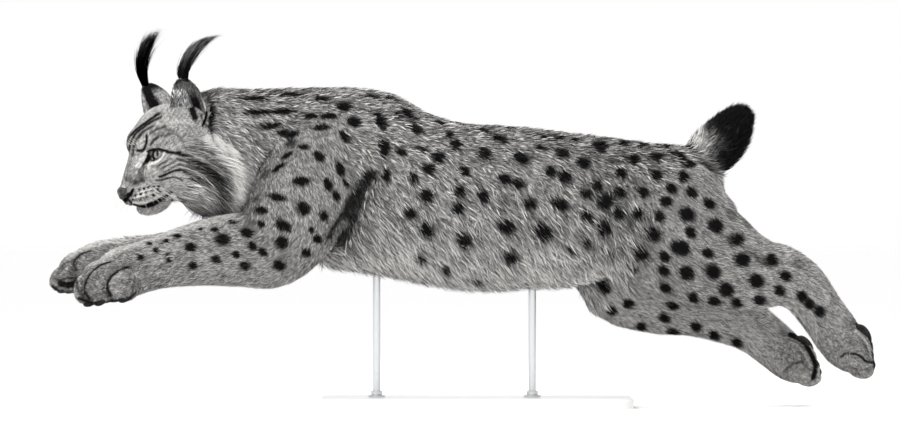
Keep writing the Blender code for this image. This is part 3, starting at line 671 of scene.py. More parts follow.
def evened(values: Array, edges: Array, rounds: int, factor: float | Array = 0.5) -> Array:
    """Evens out values over a mesh by moving each towards the mean of its neighbours.

    Args:
        values: One row of numbers for each point.
        edges: Pairs of point numbers.
        rounds: How many times it is done.
        factor: How far each value moves, for all or for each point.

    Returns:
        The evened values.
    """
    values = values.astype(float).reshape(len(values), -1)
    size = len(values)
    a, b = edges.T
    ends, others = np.concatenate([a, b]), np.concatenate([b, a])
    count = np.maximum(np.bincount(ends, minlength=size), 1)
    for _ in range(rounds):
        for k in range(values.shape[1]):
            mean = np.bincount(ends, values[others, k], minlength=size) / count
            values[:, k] += factor * (mean - values[:, k])
    return values if values.shape[1] > 1 else values[:, 0]


def fused(name: str, objects: list, voxel: float, rounds: int, swell: float) -> bpy.types.Object:
    """One even closed skin over overlapping shapes.

    Args:
        name: The new object's name.
        objects: The shapes, which are removed.
        voxel: How fine the skin is, in metres.
        rounds: How much it is evened out.
        swell: How far it is moved outwards afterwards, in metres.

    Returns:
        The skin as an object.
    """
    made = joined(name, objects)
    step = made.modifiers.new("Remesh", "REMESH")
    step.mode = "VOXEL"
    step.voxel_size = voxel
    bake(made)
    mesh = made.data
    set_points(mesh, evened(points_of(mesh), edges_of(mesh), rounds))
    set_points(mesh, points_of(mesh) + normals_of(mesh) * swell)
    return made


def thinned(obj: bpy.types.Object, triangles: int) -> bpy.types.Object:
    """Thins a mesh to about so many triangles.

    Args:
        obj: The object to thin.
        triangles: The wanted number.

    Returns:
        The same object.
    """
    step = obj.modifiers.new("Decimate", "DECIMATE")
    step.ratio = min(1.0, triangles / (2 * len(obj.data.polygons)))
    step.use_collapse_triangulate = True
    return bake(obj)


def tree_of(obj: bpy.types.Object) -> BVHTree:
    """A search tree over an object's faces."""
    shape = bmesh.new()
    shape.from_mesh(obj.data)
    tree = BVHTree.FromBMesh(shape)
    shape.free()
    return tree


def distances(tree: BVHTree, points: Array) -> Array:
    """How far each point is from the faces of a search tree, in metres."""
    return np.array([tree.find_nearest(Vector(p))[3] for p in points])


def add_node(material: bpy.types.Material, kind: str, **settings: object) -> bpy.types.Node:
    """A shader node with some of its settings made.

    Args:
        material: The material it goes into.
        kind: The node's type.
        **settings: Its properties, or its inputs where no property has that name.

    Returns:
        The new node.
    """
    node = material.node_tree.nodes.new(kind)
    for key, value in settings.items():
        if hasattr(node, key):
            setattr(node, key, value)
        else:
            node.inputs[key.replace("_", " ")].default_value = value
    return node


def new_material(name: str, **inputs: object) -> tuple[bpy.types.Material, bpy.types.Node]:
    """A Principled material with the named inputs set.

    Args:
        name: The material's name.
        **inputs: Input names with underscores for spaces, and their values.

    Returns:
        The material and its shader node.
    """
    made = bpy.data.materials.new(name)
    made.use_nodes = True
    shader = made.node_tree.nodes["Principled BSDF"]
    for key, value in inputs.items():
        shader.inputs[key.replace("_", " ")].default_value = value
    return made, shader


def add_ramp(material: bpy.types.Material, *stops: tuple) -> bpy.types.Node:
    """A colour ramp whose two stops are each given as a place and a colour."""
    ramp = add_node(material, "ShaderNodeValToRGB")
    for element, (place, colour) in zip(ramp.color_ramp.elements, stops):
        element.position, element.color = place, colour
    return ramp


def wire(material: bpy.types.Material, *links: tuple) -> None:
    """Joins nodes: each link is a node, its output, the node it feeds and that node's input."""
    for source, output, target, socket in links:
        material.node_tree.links.new(source.outputs[output], target.inputs[socket])


@dataclass(frozen=True)
class HairFinish:
    """Hair that takes its colour from the markings kept on its mesh, with fine streaks."""

    name: str = "coat"
    roughness: float = 0.7
    shine: float = 0.03
    streak_scale: float = 900.0

    def make(self) -> bpy.types.Material:
        """Builds the material.

        Returns:
            The hair material.
        """
        made, shader = new_material(self.name, Roughness=self.roughness, Specular_IOR_Level=self.shine)
        colour = add_node(made, "ShaderNodeAttribute", attribute_name=COLOUR)
        place = add_node(made, "ShaderNodeTexCoord")
        grain = add_node(made, "ShaderNodeTexNoise", Scale=self.streak_scale, Detail=2.0)
        spread = add_node(made, "ShaderNodeMapRange", To_Min=0.78, To_Max=1.22)
        product = add_node(made, "ShaderNodeVectorMath", operation="MULTIPLY")
        wire(
            made,
            (place, "Object", grain, "Vector"),
            (grain, "Fac", spread, "Value"),
            (colour, "Color", product, 0),
            (spread, "Result", product, 1),
            (product, "Vector", shader, "Base Color"),
        )
        return made


@dataclass(frozen=True)
class SkinFinish:
    """The skin under the coat: the same markings, with short hair as bump."""

    name: str = "skin"
    hair_scale: float = 420.0
    depth: float = 0.0006

    def make(self) -> bpy.types.Material:
        """Builds the material.

        Returns:
            The skin material.
        """
        made, shader = new_material(self.name, Roughness=0.8, Specular_IOR_Level=0.03)
        colour = add_node(made, "ShaderNodeAttribute", attribute_name=COLOUR)
        place = add_node(made, "ShaderNodeTexCoord")
        stretch = add_node(made, "ShaderNodeMapping", Scale=(0.35, 1.0, 1.0), Rotation=(0.0, 0.5, 0.0))
        hair = add_node(made, "ShaderNodeTexNoise", Scale=self.hair_scale, Detail=4.0)
        shade = add_node(made, "ShaderNodeMapRange", To_Min=0.45, To_Max=1.15)
        product = add_node(made, "ShaderNodeVectorMath", operation="MULTIPLY")
        bump = add_node(made, "ShaderNodeBump", Strength=0.8, Distance=self.depth)
        wire(
            made,
            (place, "Object", stretch, "Vector"),
            (stretch, "Vector", hair, "Vector"),
            (hair, "Fac", shade, "Value"),
            (colour, "Color", product, 0),
            (shade, "Result", product, 1),
            (product, "Vector", shader, "Base Color"),
            (hair, "Fac", bump, "Height"),
            (bump, "Normal", shader, "Normal"),
        )
        return made


@dataclass(frozen=True)
class LeatherFinish:
    """Bare skin of nose, pads and lids: fine pebbles, a little moist."""

    name: str
    dark: tuple[float, float, float, float]
    light: tuple[float, float, float, float]
    pebbles: float = 900.0
    roughness: float = 0.42
    depth: float = 0.0003
    shine: float = 0.1

    def make(self) -> bpy.types.Material:
        """Builds the material.

        Returns:
            The leather material.
        """
        made, shader = new_material(self.name, Roughness=self.roughness, Specular_IOR_Level=self.shine)
        place = add_node(made, "ShaderNodeTexCoord")
        cells = add_node(made, "ShaderNodeTexVoronoi", Scale=self.pebbles)
        cloud = add_node(made, "ShaderNodeTexNoise", Scale=120.0, Detail=5.0)
        ramp = add_ramp(made, (0.35, self.dark), (0.68, self.light))
        bump = add_node(made, "ShaderNodeBump", Strength=0.7, Distance=self.depth, invert=True)
        wire(
            made,
            (place, "Object", cells, "Vector"),
            (place, "Object", cloud, "Vector"),
            (cloud, "Fac", ramp, "Fac"),
            (ramp, "Color", shader, "Base Color"),
            (cells, "Distance", bump, "Height"),
            (bump, "Normal", shader, "Normal"),
        )
        return made


@dataclass(frozen=True)
class EyeFinish:
    """A wet eye that takes its iris from the colours kept on its mesh."""

    name: str = "eye"

    def make(self) -> bpy.types.Material:
        """Builds the material.

        Returns:
            The eye material.
        """
        made, shader = new_material(self.name, Roughness=0.12, Coat_Roughness=0.02)
        colour = add_node(made, "ShaderNodeAttribute", attribute_name=COLOUR)
        place = add_node(made, "ShaderNodeTexCoord")
        fibres = add_node(made, "ShaderNodeTexNoise", Scale=1400.0, Detail=3.0)
        spread = add_node(made, "ShaderNodeMapRange", To_Min=0.7, To_Max=1.3)
        product = add_node(made, "ShaderNodeVectorMath", operation="MULTIPLY")
        wire(
            made,
            (place, "Object", fibres, "Vector"),
            (fibres, "Fac", spread, "Value"),
            (colour, "Color", product, 0),
            (spread, "Result", product, 1),
            (product, "Vector", shader, "Base Color"),
        )
        wet = add_node(made, "ShaderNodeMath", operation="MULTIPLY")
        wet.inputs[1].default_value = 0.3
        wire(
            made,
            (colour, "Alpha", wet, 0),
            (wet, "Value", shader, "Specular IOR Level"),
            (wet, "Value", shader, "Coat Weight"),
        )
        return made


@dataclass(frozen=True)
class HornFinish:
    """Smooth horn or a stiff hair: a pale or dark length with faint bands along it."""

    name: str
    colour: tuple[float, float, float, float]
    roughness: float = 0.35

    def make(self) -> bpy.types.Material:
        """Builds the material.

        Returns:
            The horn material.
        """
        made, shader = new_material(self.name, Roughness=self.roughness)
        place = add_node(made, "ShaderNodeTexCoord")
        bands = add_node(made, "ShaderNodeTexNoise", Scale=350.0, Detail=2.0)
        ramp = add_ramp(made, (0.3, tuple(c * 0.6 for c in self.colour[:3]) + (1.0,)), (0.65, self.colour))
        wire(
            made,
            (place, "Object", bands, "Vector"),
            (bands, "Fac", ramp, "Fac"),
            (ramp, "Color", shader, "Base Color"),
        )
        return made


@dataclass(frozen=True)
class LacquerFinish:
    """Pale satin lacquer with a faint orange-peel surface and slight wear of its tone."""

    name: str = "stand_lacquer"
    colour: tuple[float, float, float, float] = (0.74, 0.74, 0.73, 1.0)

    def make(self) -> bpy.types.Material:
        """Builds the material.

        Returns:
            The lacquer material.
        """
        made, shader = new_material(self.name, Roughness=0.38, Coat_Weight=0.2)
        place = add_node(made, "ShaderNodeTexCoord")
        cloud = add_node(made, "ShaderNodeTexNoise", Scale=14.0, Detail=6.0)
        peel = add_node(made, "ShaderNodeTexNoise", Scale=420.0, Detail=1.0)
        ramp = add_ramp(made, (0.35, tuple(c * 0.93 for c in self.colour[:3]) + (1.0,)), (0.7, self.colour))
        bump = add_node(made, "ShaderNodeBump", Strength=0.15, Distance=0.0002)
        wire(
            made,
            (place, "Object", cloud, "Vector"),
            (place, "Object", peel, "Vector"),
            (cloud, "Fac", ramp, "Fac"),
            (ramp, "Color", shader, "Base Color"),
            (peel, "Fac", bump, "Height"),
            (bump, "Normal", shader, "Normal"),
        )
        return made


@dataclass(frozen=True)
class SteelFinish:
    """Brushed steel with fine lines round the rod."""

    name: str = "stand_steel"

    def make(self) -> bpy.types.Material:
        """Builds the material.

        Returns:
            The steel material.
        """
        made, shader = new_material(self.name, Metallic=1.0, Base_Color=(0.62, 0.63, 0.64, 1.0))
        place = add_node(made, "ShaderNodeTexCoord")
        stretch = add_node(made, "ShaderNodeMapping", Scale=(1.0, 1.0, 30.0))
        lines = add_node(made, "ShaderNodeTexNoise", Scale=60.0, Detail=4.0)
        shine = add_node(made, "ShaderNodeMapRange", To_Min=0.24, To_Max=0.42)
        bump = add_node(made, "ShaderNodeBump", Strength=0.12, Distance=0.0001)
        wire(
            made,
            (place, "Object", stretch, "Vector"),
            (stretch, "Vector", lines, "Vector"),
            (lines, "Fac", shine, "Value"),
            (shine, "Result", shader, "Roughness"),
            (lines, "Fac", bump, "Height"),
            (bump, "Normal", shader, "Normal"),
        )
        return made


@dataclass(frozen=True)
class Axis:
    """The middle line of a part, with its directions and half sizes, in metres."""

    part: Part
    centres: Array
    along: Array
    talls: Array
    wides: Array
    sizes: Array

    @classmethod
    def from_frames(cls, part: Part, frames: tuple, flip: bool = False) -> "Axis":
        """Makes the line from sections in millimetres.

        Args:
            part: The part it belongs to.
            frames: Centres, directions and sizes.
            flip: Whether the coat lies against the order of the sections.

        Returns:
            The line.
        """
        centres, along, talls, wides, sizes = frames
        return cls(part, centres * MM, -along if flip else along, talls, wides, sizes * MM)

    def nearness(self, points: Array) -> tuple[Array, Array]:
        """How near points are to the part, where its own surface is at about 1.

        Args:
            points: Places in metres.

        Returns:
            The lowest value over the sections, and the section's number.
        """
        gap = np.linalg.norm(np.diff(self.centres, axis=0), axis=1).mean()
        best = np.full(len(points), 1e9)
        which = np.zeros(len(points), int)
        for i in range(len(self.centres)):
            away = points - self.centres[i]
            value = ((away @ self.talls[i]) / self.sizes[i, 0]) ** 2
            value += ((away @ self.wides[i]) / self.sizes[i, 1]) ** 2
            value += ((away @ self.along[i]) / (gap * 2.0)) ** 2
            nearer = value < best
            best[nearer], which[nearer] = value[nearer], i
        return np.sqrt(best), which

    def unrolled(self, points: Array, which: Array) -> tuple[Array, Array]:
        """Places points on a flat map of the part: along it and round it.

        Args:
            points: Places in metres.
            which: The section nearest to each.

        Returns:
            Distance along in sections, and the angle as a share of a turn.
        """
        away = points - self.centres[which]
        gap = np.linalg.norm(np.diff(self.centres, axis=0), axis=1).mean()
        along = which + (away * self.along[which]).sum(1) / gap
        angle = np.arctan2((away * self.wides[which]).sum(1), (away * self.talls[which]).sum(1))
        return along, angle / (2 * math.pi) + 0.5


def body_axes() -> list[Axis]:
    """The middle lines of trunk, neck, legs and tail."""
    return [
        Axis.from_frames(Part.TORSO, slice_frames(TRUNK, 3)),
        Axis.from_frames(Part.NECK, slice_frames(NECK, 3)),
        *(Axis.from_frames(part, limb_frames(rings, 3)) for part, rings in LIMBS.items()),
    ]


@dataclass
class SkinBuilder:
    """The one skin over the flesh, with sockets, lids, lips and ear cups."""

    body_voxel: float = 0.0027
    body_rounds: int = 32
    paw_rounds: int = 5
    body_swell: float = 0.0034
    body_triangles: int = 110000
    skull_voxel: float = 0.005
    head_voxel: float = 0.0019
    head_rounds: int = 16
    head_swell: float = 0.0012
    ear_rows: int = 26
    ear_columns: int = 24

    def paw_lumps(self, paw: Paw) -> list:
        """The palm and toes of a paw.

        Args:
            paw: The paw.

        Returns:
            Its shapes.
        """
        place = paw_frame(paw)
        outward = place.to_3x3() @ Vector((0, 1, 0))
        side = 1.0 if outward.y * paw.place[1] > 0 else -1.0
        made = [lump(Lump(*(s * paw.scale for s in PALM)), place)]
        for ahead, across, high, *half in paw.digits:
            middle = (ahead * paw.scale, -across * side * paw.scale, high * paw.scale)
            made.append(lump(Lump(*middle, *(s * paw.scale for s in half), 16), place))
        return made

    def build_body(self) -> bpy.types.Object:
        """Trunk, neck, legs, paws and tail in one skin.

        Returns:
            The body's skin.
        """
        parts = [sliced(TRUNK), sliced(NECK)]
        parts += [limb(rings) for rings in LIMBS.values()]
        parts += [lump(row) for row in MUSCLES]
        for paw in PAWS:
            parts += self.paw_lumps(paw)
        made = fused("body", parts, self.body_voxel, self.paw_rounds, 0.0)
        mesh = made.data
        points = points_of(mesh)
        factor = np.full(len(points), 0.5)
        for paw in PAWS:
            gap = gap_to(points, paw.place)
            factor *= smoothstep(0.062, 0.10, gap)
        points = evened(points, edges_of(mesh), self.body_rounds - self.paw_rounds, factor)
        set_points(mesh, points)
        normals = normals_of(mesh)
        set_points(mesh, points + normals * self.body_swell)
        self.fold(mesh)
        return thinned(made, self.body_triangles)

    def fold(self, mesh: bpy.types.Mesh) -> None:
        """Presses the folds behind and before the shoulders and at the flanks into the skin.

        Args:
            mesh: The body's mesh.
        """
        points, normals = points_of(mesh), normals_of(mesh)
        flat = points[:, [0, 2]] / MM
        depth = np.zeros(len(points))
        for fold in FOLDS:
            gap = line_gap(flat, np.array(fold.line, float))
            depth = np.maximum(depth, fold.depth * np.exp(-((gap / fold.width) ** 2)))
        outward = np.abs(normals[:, 1]) ** 0.7 * (np.abs(points[:, 1]) > 0.03)
        set_points(mesh, points - normals * (depth * outward * MM)[:, None])

    def lumps_in(self, place: Matrix, singles: tuple, pairs: tuple) -> list:
        """Ellipsoids on the middle plane, and those that stand on both sides.

        Args:
            place: The frame they stand in.
            singles: Those on the middle plane.
            pairs: Those on the left, which are repeated on the right.

        Returns:
            The shapes.
        """
        made = [lump(row, place) for row in singles]
        for row in pairs:
            made.append(lump(row, place))
            made.append(lump(Lump(row.x, -row.y, row.z, row.rx, row.ry, row.rz, row.pitch), place))
        return made

    def lid_window(self, side: int) -> bpy.types.Object:
        """The almond opening between the lids of an eye, as a cutter.

        Args:
            side: 1 for the left eye, -1 for the right.

        Returns:
            The cutter.
        """
        middle, look, long_way, short_way = Eye.directions(side)
        turns = 40
        points = []
        for depth, size in ((3.0, 0.92), (34.0, 1.25)):
            for k in range(turns):
                a, b = Eye.opening(2 * math.pi * k / turns)
                spot = middle + look * depth + (long_way * a + short_way * b) * size
                points.append(head_frame() @ (spot * MM))
        faces = [tuple(range(turns)), tuple(range(turns, 2 * turns))]
        faces += [(k, (k + 1) % turns, turns + (k + 1) % turns, turns + k) for k in range(turns)]
        return from_faces("window", points, faces)

    def mouth_groove(self, tree: BVHTree, side: int) -> bpy.types.Object:
        """A thin cutter along the line of the mouth.

        Args:
            tree: The head's faces.
            side: 1 for the left, -1 for the right.

        Returns:
            The cutter.
        """
        place = head_frame()
        rings = []
        for x, y, z in MOUTH:
            near = tree.find_nearest(place @ (Vector((x, y * side, z)) * MM))[0] / MM
            rings.append(Ring(near.x, near.y, near.z, 1.8, 1.8))
        return limb(tuple(rings), 8)

    def build_head(self) -> bpy.types.Object:
        """The head with its sockets, mouth and lids.

        Returns:
            The head's skin.
        """
        place = head_frame()
        skull = fused("skull", self.lumps_in(place, SKULL_LUMPS, SKULL_PAIRS), self.skull_voxel, 16, 0.003)
        bridge = limb(BRIDGE, 16)
        bridge.data.transform(place)
        parts = [skull, bridge] + self.lumps_in(place, FACE_LUMPS, FACE_PAIRS)
        head = fused("head_skin", parts, self.head_voxel, self.head_rounds, self.head_swell)
        tree = tree_of(head)
        for side in (1, -1):
            boolean(head, self.mouth_groove(tree, side), "DIFFERENCE")
            boolean(head, self.lid_window(side), "DIFFERENCE")
            reach = EYE_RADIUS + 0.5
            socket = Lump(EYE_MIDDLE[0], EYE_MIDDLE[1] * side, EYE_MIDDLE[2], reach, reach, reach)
            boolean(head, lump(socket, place, 4), "DIFFERENCE")
        return head

    def build_ear(self, ear: Ear) -> bpy.types.Object:
        """The cup of an ear, wide at its root and drawn to a point.

        Args:
            ear: The ear.

        Returns:
            The cup.
        """
        up = Vector(ear.up).normalized()
        opening = Vector(ear.open)
        opening = (opening - up * opening.dot(up)).normalized()
        across = up.cross(opening)
        rows, columns = self.ear_rows, self.ear_columns
        walls = []
        for inset in (0.0, 1.0):
            for i in range(rows + 1):
                v = i / rows
                half = EAR_HALF_WIDTH * (0.62 + 0.38 * math.sin(min(1.0, v / 0.4) * math.pi / 2))
                half = half * (1 - v**2.4) ** 0.62 + 3.5 * v - inset * EAR_WALL * 0.6
                bend = math.radians(108 - 56 * v)
                deep = 0.72 * half * (1 - 0.35 * v)
                rise = EAR_HEIGHT * v - inset * EAR_WALL * 0.8 * v - (1 - v) * 14
                for j in range(columns + 1):
                    turn = bend * (2 * j / columns - 1)
                    broad = half * math.sin(turn) / math.sin(min(bend, math.pi / 2))
                    back = inset * EAR_WALL - deep * math.cos(turn)
                    walls.append((Vector(ear.base) + up * rise + across * broad + opening * back) * MM)
        width = columns + 1
        layer = (rows + 1) * width
        faces = []
        for i in range(rows):
            for j in range(columns):
                a = i * width + j
                faces.append((a, a + 1, a + 1 + width, a + width))
                faces.append((a + layer, a + width + layer, a + 1 + width + layer, a + 1 + layer))
        for i in range(rows):
            for j in (0, columns):
                a = i * width + j
                faces.append((a, a + width, a + width + layer, a + layer))
        for j in range(columns):
            for i in (0, rows):
                a = i * width + j
                faces.append((a, a + 1, a + 1 + layer, a + layer))
        return from_faces(ear.name, walls, faces)

    def build(self) -> tuple[bpy.types.Object, dict]:
        """Fuses body, head and ears.

        Returns:
            The whole skin, and search trees over the head and each ear before fusing.
        """
        skin = self.build_body()
        head = self.build_head()
        trees = {Part.HEAD: tree_of(head)}
        boolean(skin, head, "UNION")
        for ear in EARS:
            cup = self.build_ear(ear)
            trees[ear.part] = tree_of(cup)
            boolean(skin, cup, "UNION")
        skin.name = "skin"
        return skin, trees


@dataclass(frozen=True)
class Fold:
    """A fold of the skin in the side view: its line, width and depth in millimetres."""

    line: tuple[tuple[float, float], ...]
    width: float
    depth: float


FOLDS = records(
    Fold,
    (((-168, 418), (-176, 402), (-191, 365), (-213, 325), (-221, 308)), 14, 16),
    (((-372, 384), (-360, 405), (-345, 430), (-326, 460), (-306, 480)), 14, 8),
    (((214, 268), (236, 300), (250, 340), (262, 385)), 16, 5),
    (((480, 300), (505, 285), (540, 262)), 14, 4),
)


@dataclass(frozen=True)
class Shade:
    """A soft patch of the coat in the side view, darker below factor 1 (mostly painted shade in creases) and
    paler above it: place and half sizes in millimetres.
    """

    x: float
    z: float
    wide: float
    high: float
    factor: float


# Painted shade and the coat's own tone: patches below factor 1 darken the creases behind the elbow, before the
# shoulder and between flank and thigh; those above 1 make belly, tail root and the rear edge of the thigh paler.
SHADE_AND_TONE_PATCHES = records(
    Shade,
    (-168, 415, 16, 30, 0.55), (-185, 375, 22, 36, 0.5), (-212, 330, 22, 30, 0.45),
    (-150, 330, 34, 16, 0.75), (-372, 385, 18, 34, 0.6), (-352, 440, 16, 40, 0.7),
    (-312, 500, 34, 18, 0.75), (262, 376, 52, 44, 0.62), (316, 310, 44, 36, 0.72), (300, 452, 70, 24, 0.8),
    (-120, 290, 60, 26, 1.25), (40, 262, 130, 30, 1.1), (180, 260, 60, 36, 1.3), (428, 462, 46, 34, 2.3),
    (470, 400, 40, 40, 1.25), (260, 205, 70, 22, 1.35),
)


@dataclass(frozen=True)
class Streak:
    """A line in the side view of the head, in millimetres, with widths and a tone."""

    line: tuple[tuple[float, float], ...]
    width: float
    end_width: float
    tone: float
    strength: float = 1.0
    soft: float = 2.0


SHAPED_SPOTS = (
    (-554, 295, 6, 4, 0), (-523, 299, 6, 4, -5), (-541, 282, 6.5, 5, -30), (-569, 270, 7, 6, -20),
    (-503, 308, 8, 4.5, 0), (-519, 265, 6, 5.5, 0), (-521, 275, 3.5, 2.5, 0), (-479, 288, 11, 8.5, -10),
    (-462, 320, 5, 3, 0), (-436, 320, 8, 5, 0), (-476, 255, 9, 7.5, -20), (-422, 302, 14, 11, -10),
    (-405, 333, 9, 4.5, -10), (-434, 266, 9, 8, -20), (-398, 275, 9, 6, -25), (-379, 314, 13, 9, -20),
    (-354, 329, 9, 6, -25), (-354, 354, 13, 7, -5), (-326, 378, 16, 7.5, -15), (-280, 357, 13, 10, -75),
    (-315, 327, 16, 10, -30), (-244, 343, 8, 7, -70), (-317, 297, 13, 12, -30), (-369, 290, 11, 7, -35),
    (-351, 280, 10, 7, -30), (-383, 255, 10, 8, -20), (-322, 257, 12.5, 10, -15), (-274, 279, 10, 8, -30),
    (-253, 302, 8, 7, -60), (-265, 319, 7, 5, -60), (-260, 258, 8, 7, -30, 0.4), (-424, 237, 8, 5, 0, 0.4),
    (-531, 253, 7, 5, 0, 0.4), (-376, 230, 9, 5, 0, 0.35), (-444, 282, 4, 4, 0, 0.6), (-250, 552, 17, 6, 0),
    (-209, 539, 15, 9, -10), (-165, 557, 20, 5, 0), (-235, 522, 16, 6, 0), (-190, 511, 14, 10, -20),
    (-143, 512, 21, 10, -60), (-113, 521, 12, 6, -50), (-94, 524, 18, 10, -35), (-248, 502, 16, 6, 5),
    (-207, 485, 13, 7, -60), (-280, 467, 11, 5, 0), (-252, 450, 12, 8, -40), (-215, 428, 14, 8, -70),
    (-283, 406, 16, 9, 0), (-235, 400, 14, 8, -70), (-221, 380, 11, 7, -60), (-204, 402, 9, 5, -60),
    (-280, 359, 14, 12, -40), (-243, 345, 10, 8, -50), (-254, 303, 10, 8, -30), (-136, 465, 17, 11, -80),
    (-132, 416, 13, 9, -80), (-106, 458, 11, 7, -40), (-69, 463, 11, 6, -30), (-40, 447, 13, 11, -30),
    (-57, 428, 13, 11, -30), (-80, 498, 13, 10, -45), (-21, 487, 12, 8, -30), (-8, 470, 14, 10, -45),
    (1, 506, 11, 5, -10), (8, 423, 11, 9, -30), (-1, 388, 13, 12, -60), (-84, 411, 11, 10, -40),
    (-60, 380, 14, 11, -30), (41, 379, 15, 10, -70), (-3, 358, 12, 11, -30), (-89, 349, 13, 10, -35),
    (-62, 321, 15, 13, -35), (82, 325, 16, 14, -30), (6, 303, 15, 14, -60), (147, 317, 17, 15, -60),
    (-71, 273, 12, 10, -60), (-27, 255, 14, 11, -60), (88, 275, 16, 14, -20), (27, 236, 14, 11, -40),
    (123, 366, 12, 11, -30), (78, 410, 15, 9, -25), (104, 401, 12, 10, -30), (78, 371, 9, 8, -30, 0.5),
    (43, 454, 14, 11, -50), (108, 447, 17, 10, -30), (71, 480, 17, 8, -25), (90, 497, 13, 5, -10),
    (145, 484, 13, 6, -20), (143, 465, 12, 6, -20), (182, 455, 14, 10, -25), (160, 423, 11, 10, -30),
    (186, 413, 13, 12, -40), (219, 438, 14, 10, -25), (178, 365, 17, 11, -20), (189, 340, 9, 6, -30, 0.5),
    (226, 384, 11, 9, -30), (226, 343, 14, 10, -50), (223, 299, 13, 10, -50), (197, 284, 9, 7, -60),
    (245, 399, 12, 9, -60), (-369, 553, 26, 6, 0), (-305, 559, 24, 6, 0), (-129, 553, 16, 5, -15),
    (-363, 529, 30, 6, 2), (-316, 530, 26, 6, 0), (-269, 521, 15, 6, 0), (-315, 494, 13, 6, 10),
    (-363, 475, 12, 8, 20, 0.5), (-36, 508, 15, 6, -15), (39, 494, 13, 6, -10), (72, 505, 15, 5, -5),
    (174, 482, 13, 7, -10), (205, 477, 14, 6, -8), (-324, 430, 16, 5, 30), (-309, 452, 12, 5, 25),
    (-345, 420, 14, 5, 35, 0.7), (-300, 490, 17, 6, 10), (-340, 505, 24, 6, 5), (381, 453, 17, 4.5, -45),
    (404, 432, 14, 4.5, -39), (416, 465, 15, 4.5, -30),
)
ROUND = {"b": (15.5, 13.0), "m": (12.0, 9.5), "e": (16.0, 7.5), "s": (8.5, 6.5), "f": (11.0, 9.0)}
NEAR_SPOTS = (
    (250, 467, 'b'), (294, 471, 'm'), (327, 468, 'm'), (369, 465, 'm'), (273, 444, 'f'), (310, 444, 'm'),
    (350, 448, 'm'), (287, 420, 'm'), (350, 417, 'm'), (316, 407, 'f'), (285, 387, 'm'), (327, 386, 'm'),
    (377, 393, 'm'), (367, 370, 'm'), (258, 369, 'b'), (283, 348, 'm'), (318, 347, 'm'), (355, 343, 'm'),
    (258, 320, 'b'), (299, 328, 'f'), (345, 312, 'b'), (270, 278, 's'), (322, 278, 'b'), (365, 271, 'm'),
    (363, 247, 'm'), (389, 287, 'b'), (310, 252, 's'), (366, 216, 'm'), (393, 449, 'e'), (410, 435, 'm'),
    (398, 414, 'm'), (413, 386, 'm'), (444, 366, 'm'), (405, 347, 'b'), (483, 347, 'f'), (455, 327, 'b'),
    (513, 330, 'f'), (411, 315, 'm'), (495, 303, 'm'), (396, 287, 'b'), (441, 278, 'm'), (503, 266, 'b'),
    (556, 266, 'm'), (404, 242, 'b'), (450, 245, 'b'), (528, 228, 'b'), (474, 213, 'b'), (416, 198, 'm'),
    (453, 192, 'm'), (494, 189, 'm'), (534, 194, 'm'), (570, 211, 'm'), (580, 237, 'm'), (610, 200, 'm'),
    (623, 187, 'm'), (641, 174, 'm'), (603, 259, 'f'), (261, 214, 'm'), (304, 185, 'm'), (273, 174, 'm'),
    (384, 183, 'm'), (369, 160, 'm'), (426, 144, 'm'), (327, 144, 'm'), (384, 134, 'm'), (459, 128, 'm'),
    (500, 115, 'm'),
)
